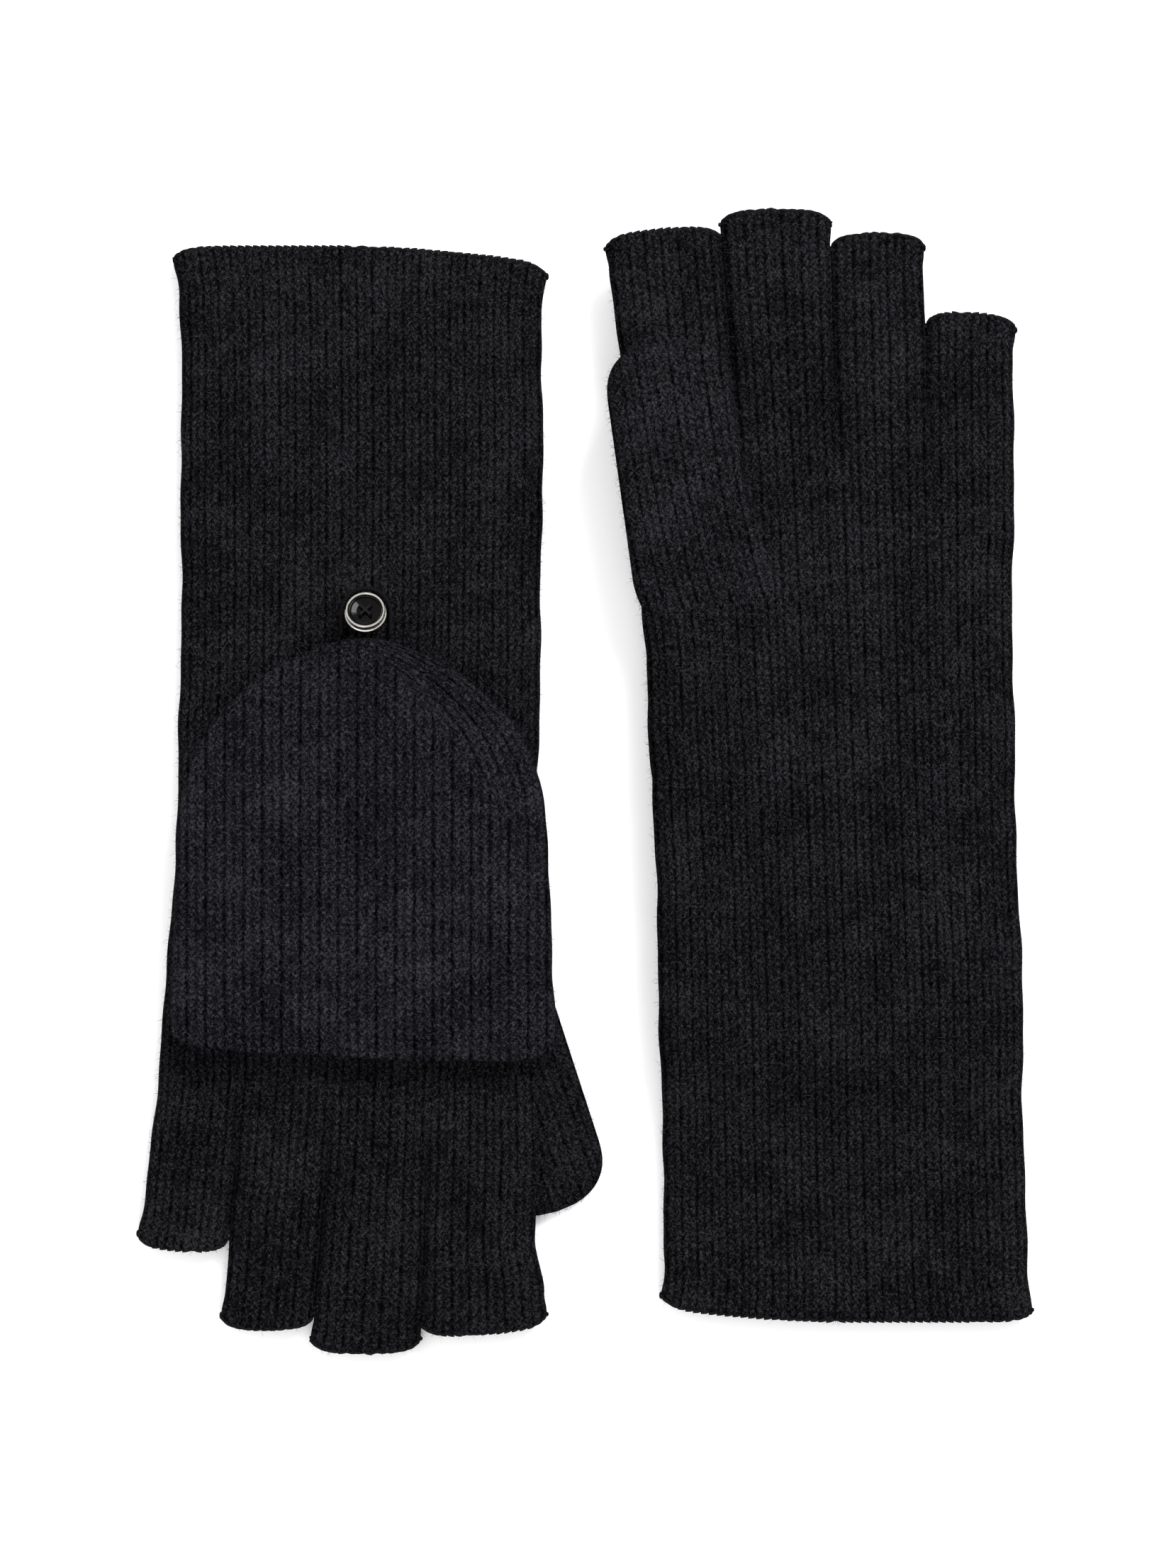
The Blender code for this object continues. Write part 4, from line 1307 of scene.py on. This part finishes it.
@dataclass
class ButtonAndLoop:
    """The four-hole button and the loop of cord that the cap's tip is held by."""

    place: GlovePlace
    cord: float = 0.6 * MM
    lip_radius: float = 4.12 * MM
    lip_thick: float = 0.32 * MM

    def loop_path(self) -> np.ndarray:
        """The cord's centre line, read from the loop's own place."""
        low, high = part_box(f"{self.place.name}_button_loop")
        centre, reach = (low.x + high.x) / 2.0, (high.x - low.x) / 2.0 - self.cord
        far, near = (high.y, low.y) if self.place.hand is Hand.RIGHT else (low.y, high.y)
        way = 1.0 if far > near else -1.0
        bend = far - way * (self.cord + reach)
        z = (low.z + high.z) / 2.0
        points = [(centre - reach, near + (bend - near) * t, z) for t in np.linspace(0.0, 1.0, 9)[:-1]]
        for a in np.linspace(math.pi, 0.0, 25):
            points.append((centre + reach * math.cos(a), bend + way * reach * math.sin(a), z))
        points += [(centre + reach, bend + (near - bend) * t, z) for t in np.linspace(0.0, 1.0, 9)[1:]]
        return np.array(points)

    def build(self) -> bpy.types.Object:
        """Twist the loop's cord from two plies along its path."""
        path = self.loop_path()
        host = plain_object(
            f"{self.place.name}_loop_path", path.tolist(), [(i, i + 1) for i in range(len(path) - 1)], []
        )
        grow = GrowTree(
            "plied_cord",
            {"Radius": ("NodeSocketFloat", self.cord * 0.58), "Turns": ("NodeSocketFloat", 16.0)},
        )
        tree, source = grow.tree, grow.source
        line = add_node(tree, "GeometryNodeMeshToCurve", {"Mesh": source.outputs["Geometry"]})
        fine = add_node(
            tree, "GeometryNodeResampleCurve", {"Curve": line.outputs[0], "Count": 180}, mode="COUNT"
        )
        along = add_node(tree, "GeometryNodeSplineParameter", {})
        spin = add_node(
            tree, "ShaderNodeMath",
            {0: along.outputs["Factor"], 1: source.outputs["Turns"]}, operation="MULTIPLY",
        )
        angle = add_node(tree, "ShaderNodeMath", {0: spin.outputs[0], 1: 2.0 * math.pi}, operation="MULTIPLY")
        tangent = add_node(tree, "GeometryNodeInputTangent", {})
        side = add_node(
            tree, "ShaderNodeVectorMath", {0: tangent.outputs[0], 1: (0.0, 0.0, 1.0)},
            operation="CROSS_PRODUCT",
        )
        out = add_node(
            tree, "ShaderNodeVectorRotate",
            {"Vector": side.outputs[0], "Axis": tangent.outputs[0], "Angle": angle.outputs[0]},
            rotation_type="AXIS_ANGLE",
        )
        ring = add_node(
            tree, "GeometryNodeCurvePrimitiveCircle",
            {"Resolution": 8, "Radius": source.outputs["Radius"]},
        )
        plies = []
        for sign in (1.0, -1.0):
            away = add_node(
                tree, "ShaderNodeVectorMath",
                {0: out.outputs[0], "Scale": sign * self.cord * 0.42}, operation="SCALE",
            )
            moved = add_node(
                tree, "GeometryNodeSetPosition", {"Geometry": fine.outputs[0], "Offset": away.outputs[0]}
            )
            ply = add_node(
                tree, "GeometryNodeCurveToMesh",
                {"Curve": moved.outputs[0], "Profile Curve": ring.outputs[0], "Fill Caps": True},
            )
            plies.append(ply.outputs[0])
        both = tree.nodes.new("GeometryNodeJoinGeometry")
        for ply in plies:
            tree.links.new(ply, both.inputs[0])
        grow.end(both.outputs[0], CORD_YARN)
        return grow.grow(host, f"{self.place.name}_plied_loop")

    def lip(self) -> bpy.types.Object:
        """The resin's rounded edge, run up against the rim all round."""
        name = self.place.name
        rim = np.array([v.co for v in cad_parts[f"{name}_button_rim"].data.vertices])
        dish = np.array([v.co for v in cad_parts[f"{name}_button_insert"].data.vertices])
        centre = (dish.min(axis=0) + dish.max(axis=0)) / 2.0
        axis = np.linalg.svd(rim - rim.mean(axis=0), full_matrices=False)[2][2]
        axis = axis if axis[2] * (1.0 if self.place.hand is Hand.RIGHT else -1.0) > 0 else -axis
        high = ((dish - centre) @ axis).max()
        side = np.array([1.0, 0.0, 0.0])
        fore = np.cross(axis, side)
        points, faces = [], []
        turns, around = 96, 10
        for i in range(turns):
            a = 2.0 * math.pi * i / turns
            out = math.cos(a) * side + math.sin(a) * fore
            for k in range(around):
                b = 2.0 * math.pi * k / around
                ring = centre + out * (self.lip_radius + self.lip_thick * math.cos(b))
                rise = high - self.lip_thick * 0.75 + self.lip_thick * math.sin(b)
                points.append(tuple(ring + axis * rise))
        for i in range(turns):
            for k in range(around):
                a, b = i * around + k, i * around + (k + 1) % around
                c, d = (a + around) % len(points), (b + around) % len(points)
                faces.append((a, c, d, b))
        made = plain_object(f"{name}_resin_lip", points, [], faces)
        face_outward(made.data)
        dress(made, RESIN)
        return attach(made, f"{name}_button")

    def dress(self, loop: bpy.types.Object) -> None:
        """Put the loop on its body and give the button its finishes."""
        name = self.place.name
        self.lip()
        loop.data.shade_smooth()
        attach(loop, f"{name}_loop")
        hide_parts(f"{name}_button_loop")
        for part, finish in (("rim", NICKEL), ("insert", RESIN), ("thread", SEWING_THREAD)):
            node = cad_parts[f"{name}_button_{part}"]
            for place in node.material_slots:
                place.material = finished(finish)


# ---------------------------------------------------------------- setting


@dataclass(frozen=True)
class SoftBox:
    """A square soft box that faces the gloves."""

    name: str
    place: tuple[float, float, float]
    size: float
    power: float

    def hang(self) -> None:
        """Hang the box in its place."""
        box = bpy.data.lights.new(self.name, "AREA")
        box.size = self.size
        box.energy = self.power
        made = linked(self.name, box)
        made.location = self.place
        made.rotation_euler = (-Vector(self.place)).to_track_quat("-Z", "Y").to_euler()


@dataclass
class Studio:
    """White sweep, overhead soft boxes and the camera straight above."""

    above: float = 1.121
    lens: float = 100.0
    sensor: float = 36.0
    sweep: float = 4.0
    room: float = 1.08
    boxes: tuple[SoftBox, ...] = (
        SoftBox("key_box", (0.6, 0.95, 0.95), 0.7, 31.0),
        SoftBox("fill_box", (-0.4, -0.3, 1.5), 1.6, 12.0),
    )

    def build(self) -> None:
        """Make the floor, the lights and the camera."""
        size = self.sweep
        floor = plain_object(
            "paper_sweep",
            [(-size, -size, 0.0), (size, -size, 0.0), (size, size, 0.0), (-size, size, 0.0)],
            [], [(0, 1, 2, 3)],
        )
        dress(floor, PAPER)
        for box in self.boxes:
            box.hang()
        world = bpy.data.worlds.new("white_room")
        world.use_nodes = True
        shade = world.node_tree.nodes["Background"]
        shade.inputs["Color"].default_value = linear("#ffffff")
        shade.inputs["Strength"].default_value = self.room
        bpy.context.scene.world = world
        bpy.context.scene.view_settings.view_transform = "Standard"
        view = bpy.data.cameras.new("camera")
        view.lens = self.lens
        view.sensor_fit = "VERTICAL"
        view.sensor_height = self.sensor
        view.clip_start = 0.01
        camera = linked("camera", view)
        camera.location = (0.0, 0.0, self.above)
        bpy.context.scene.camera = camera


@dataclass
class Glove:
    """One glove of the pair with everything on it."""

    place: GlovePlace
    hand: KnittedHand
    thumb: Thumb
    cap: FlipCap
    fastening: ButtonAndLoop

    def build(self) -> None:
        """Build and dress the pieces in order."""
        piece = self.hand.dress(self.hand.build())
        LOG.info("%s: %d faces", piece.name, len(piece.data.polygons))
        for grown in self.hand.detail(piece):
            LOG.info("%s: %d faces", grown.name, len(grown.data.polygons))
        thumb = self.thumb.dress(self.thumb.build())
        LOG.info("%s: %d faces", thumb.name, len(thumb.data.polygons))
        pieces = self.cap.build()
        self.cap.dress(pieces)
        for part in pieces:
            LOG.info("%s: %d faces", part.name, len(part.data.polygons))
        loop = self.fastening.build()
        self.fastening.dress(loop)
        LOG.info("%s: %d faces", loop.name, len(loop.data.polygons))


def make_right() -> Glove:
    """The right glove, palm down, its thumb pressed flat under it."""
    low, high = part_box("right_cap")
    place = GlovePlace(Hand.RIGHT, (low.x + high.x) / 2.0 - 1.8 * MM, 0.0)
    angle = math.radians(18.0)
    root = (-30.5 * MM, 46.0 * MM)
    hand = KnittedHand(
        place, lean=3.35 * MM, bow=2.65 * MM, press=5.1 * MM, sag=0.0, thumb_root=root,
        thumb_angle=angle, index_flare=3.2 * MM, cuff_rise=(4.3 * MM, 0.0),
    )
    thumb = Thumb(place, root, angle, low=(2.0 * MM, 0.05 * MM), high=(3.0 * MM, 4.8 * MM))
    cap = FlipCap(place, -1.8 * MM, -high.y + 0.35 * MM, low.z + 0.9 * MM, high.z)
    return Glove(place, hand, thumb, cap, ButtonAndLoop(place))


def make_left() -> Glove:
    """The left glove, palm up, its thumb proud on the palm and its cap under it."""
    low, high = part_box("left_cap")
    height = 19.4 * MM
    place = GlovePlace(Hand.LEFT, (low.x + high.x) / 2.0 + 1.8 * MM, height)
    angle = math.radians(8.0)
    root = (-34.5 * MM, 46.0 * MM)
    hand = KnittedHand(
        place, lean=-4.7 * MM, bow=-0.7 * MM, press=0.0, sag=9.8 * MM, thumb_root=root,
        thumb_angle=angle, index_flare=0.6 * MM, cuff_rise=(4.0 * MM, 0.0),
    )
    thumb = Thumb(
        place, root, angle, low=(3.0 * MM, -8.7 * MM), high=(5.0 * MM, 0.7 * MM),
        start=-14.0 * MM, length=81.0 * MM, merge=38.0 * MM, heel=2.6 * MM,
    )
    cap = FlipCap(
        place, -2.2 * MM, low.y + 0.35 * MM, height - high.z + 0.9 * MM, height - low.z,
        half=44.6 * MM, mouth_half=45.6 * MM,
    )
    return Glove(place, hand, thumb, cap, ButtonAndLoop(place))


def main() -> None:
    """Build the pair and the setting."""
    logging.basicConfig(level=logging.INFO, format="%(message)s")
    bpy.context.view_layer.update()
    make_right().build()
    make_left().build()
    Studio().build()


if __name__ == "__main__":
    main()
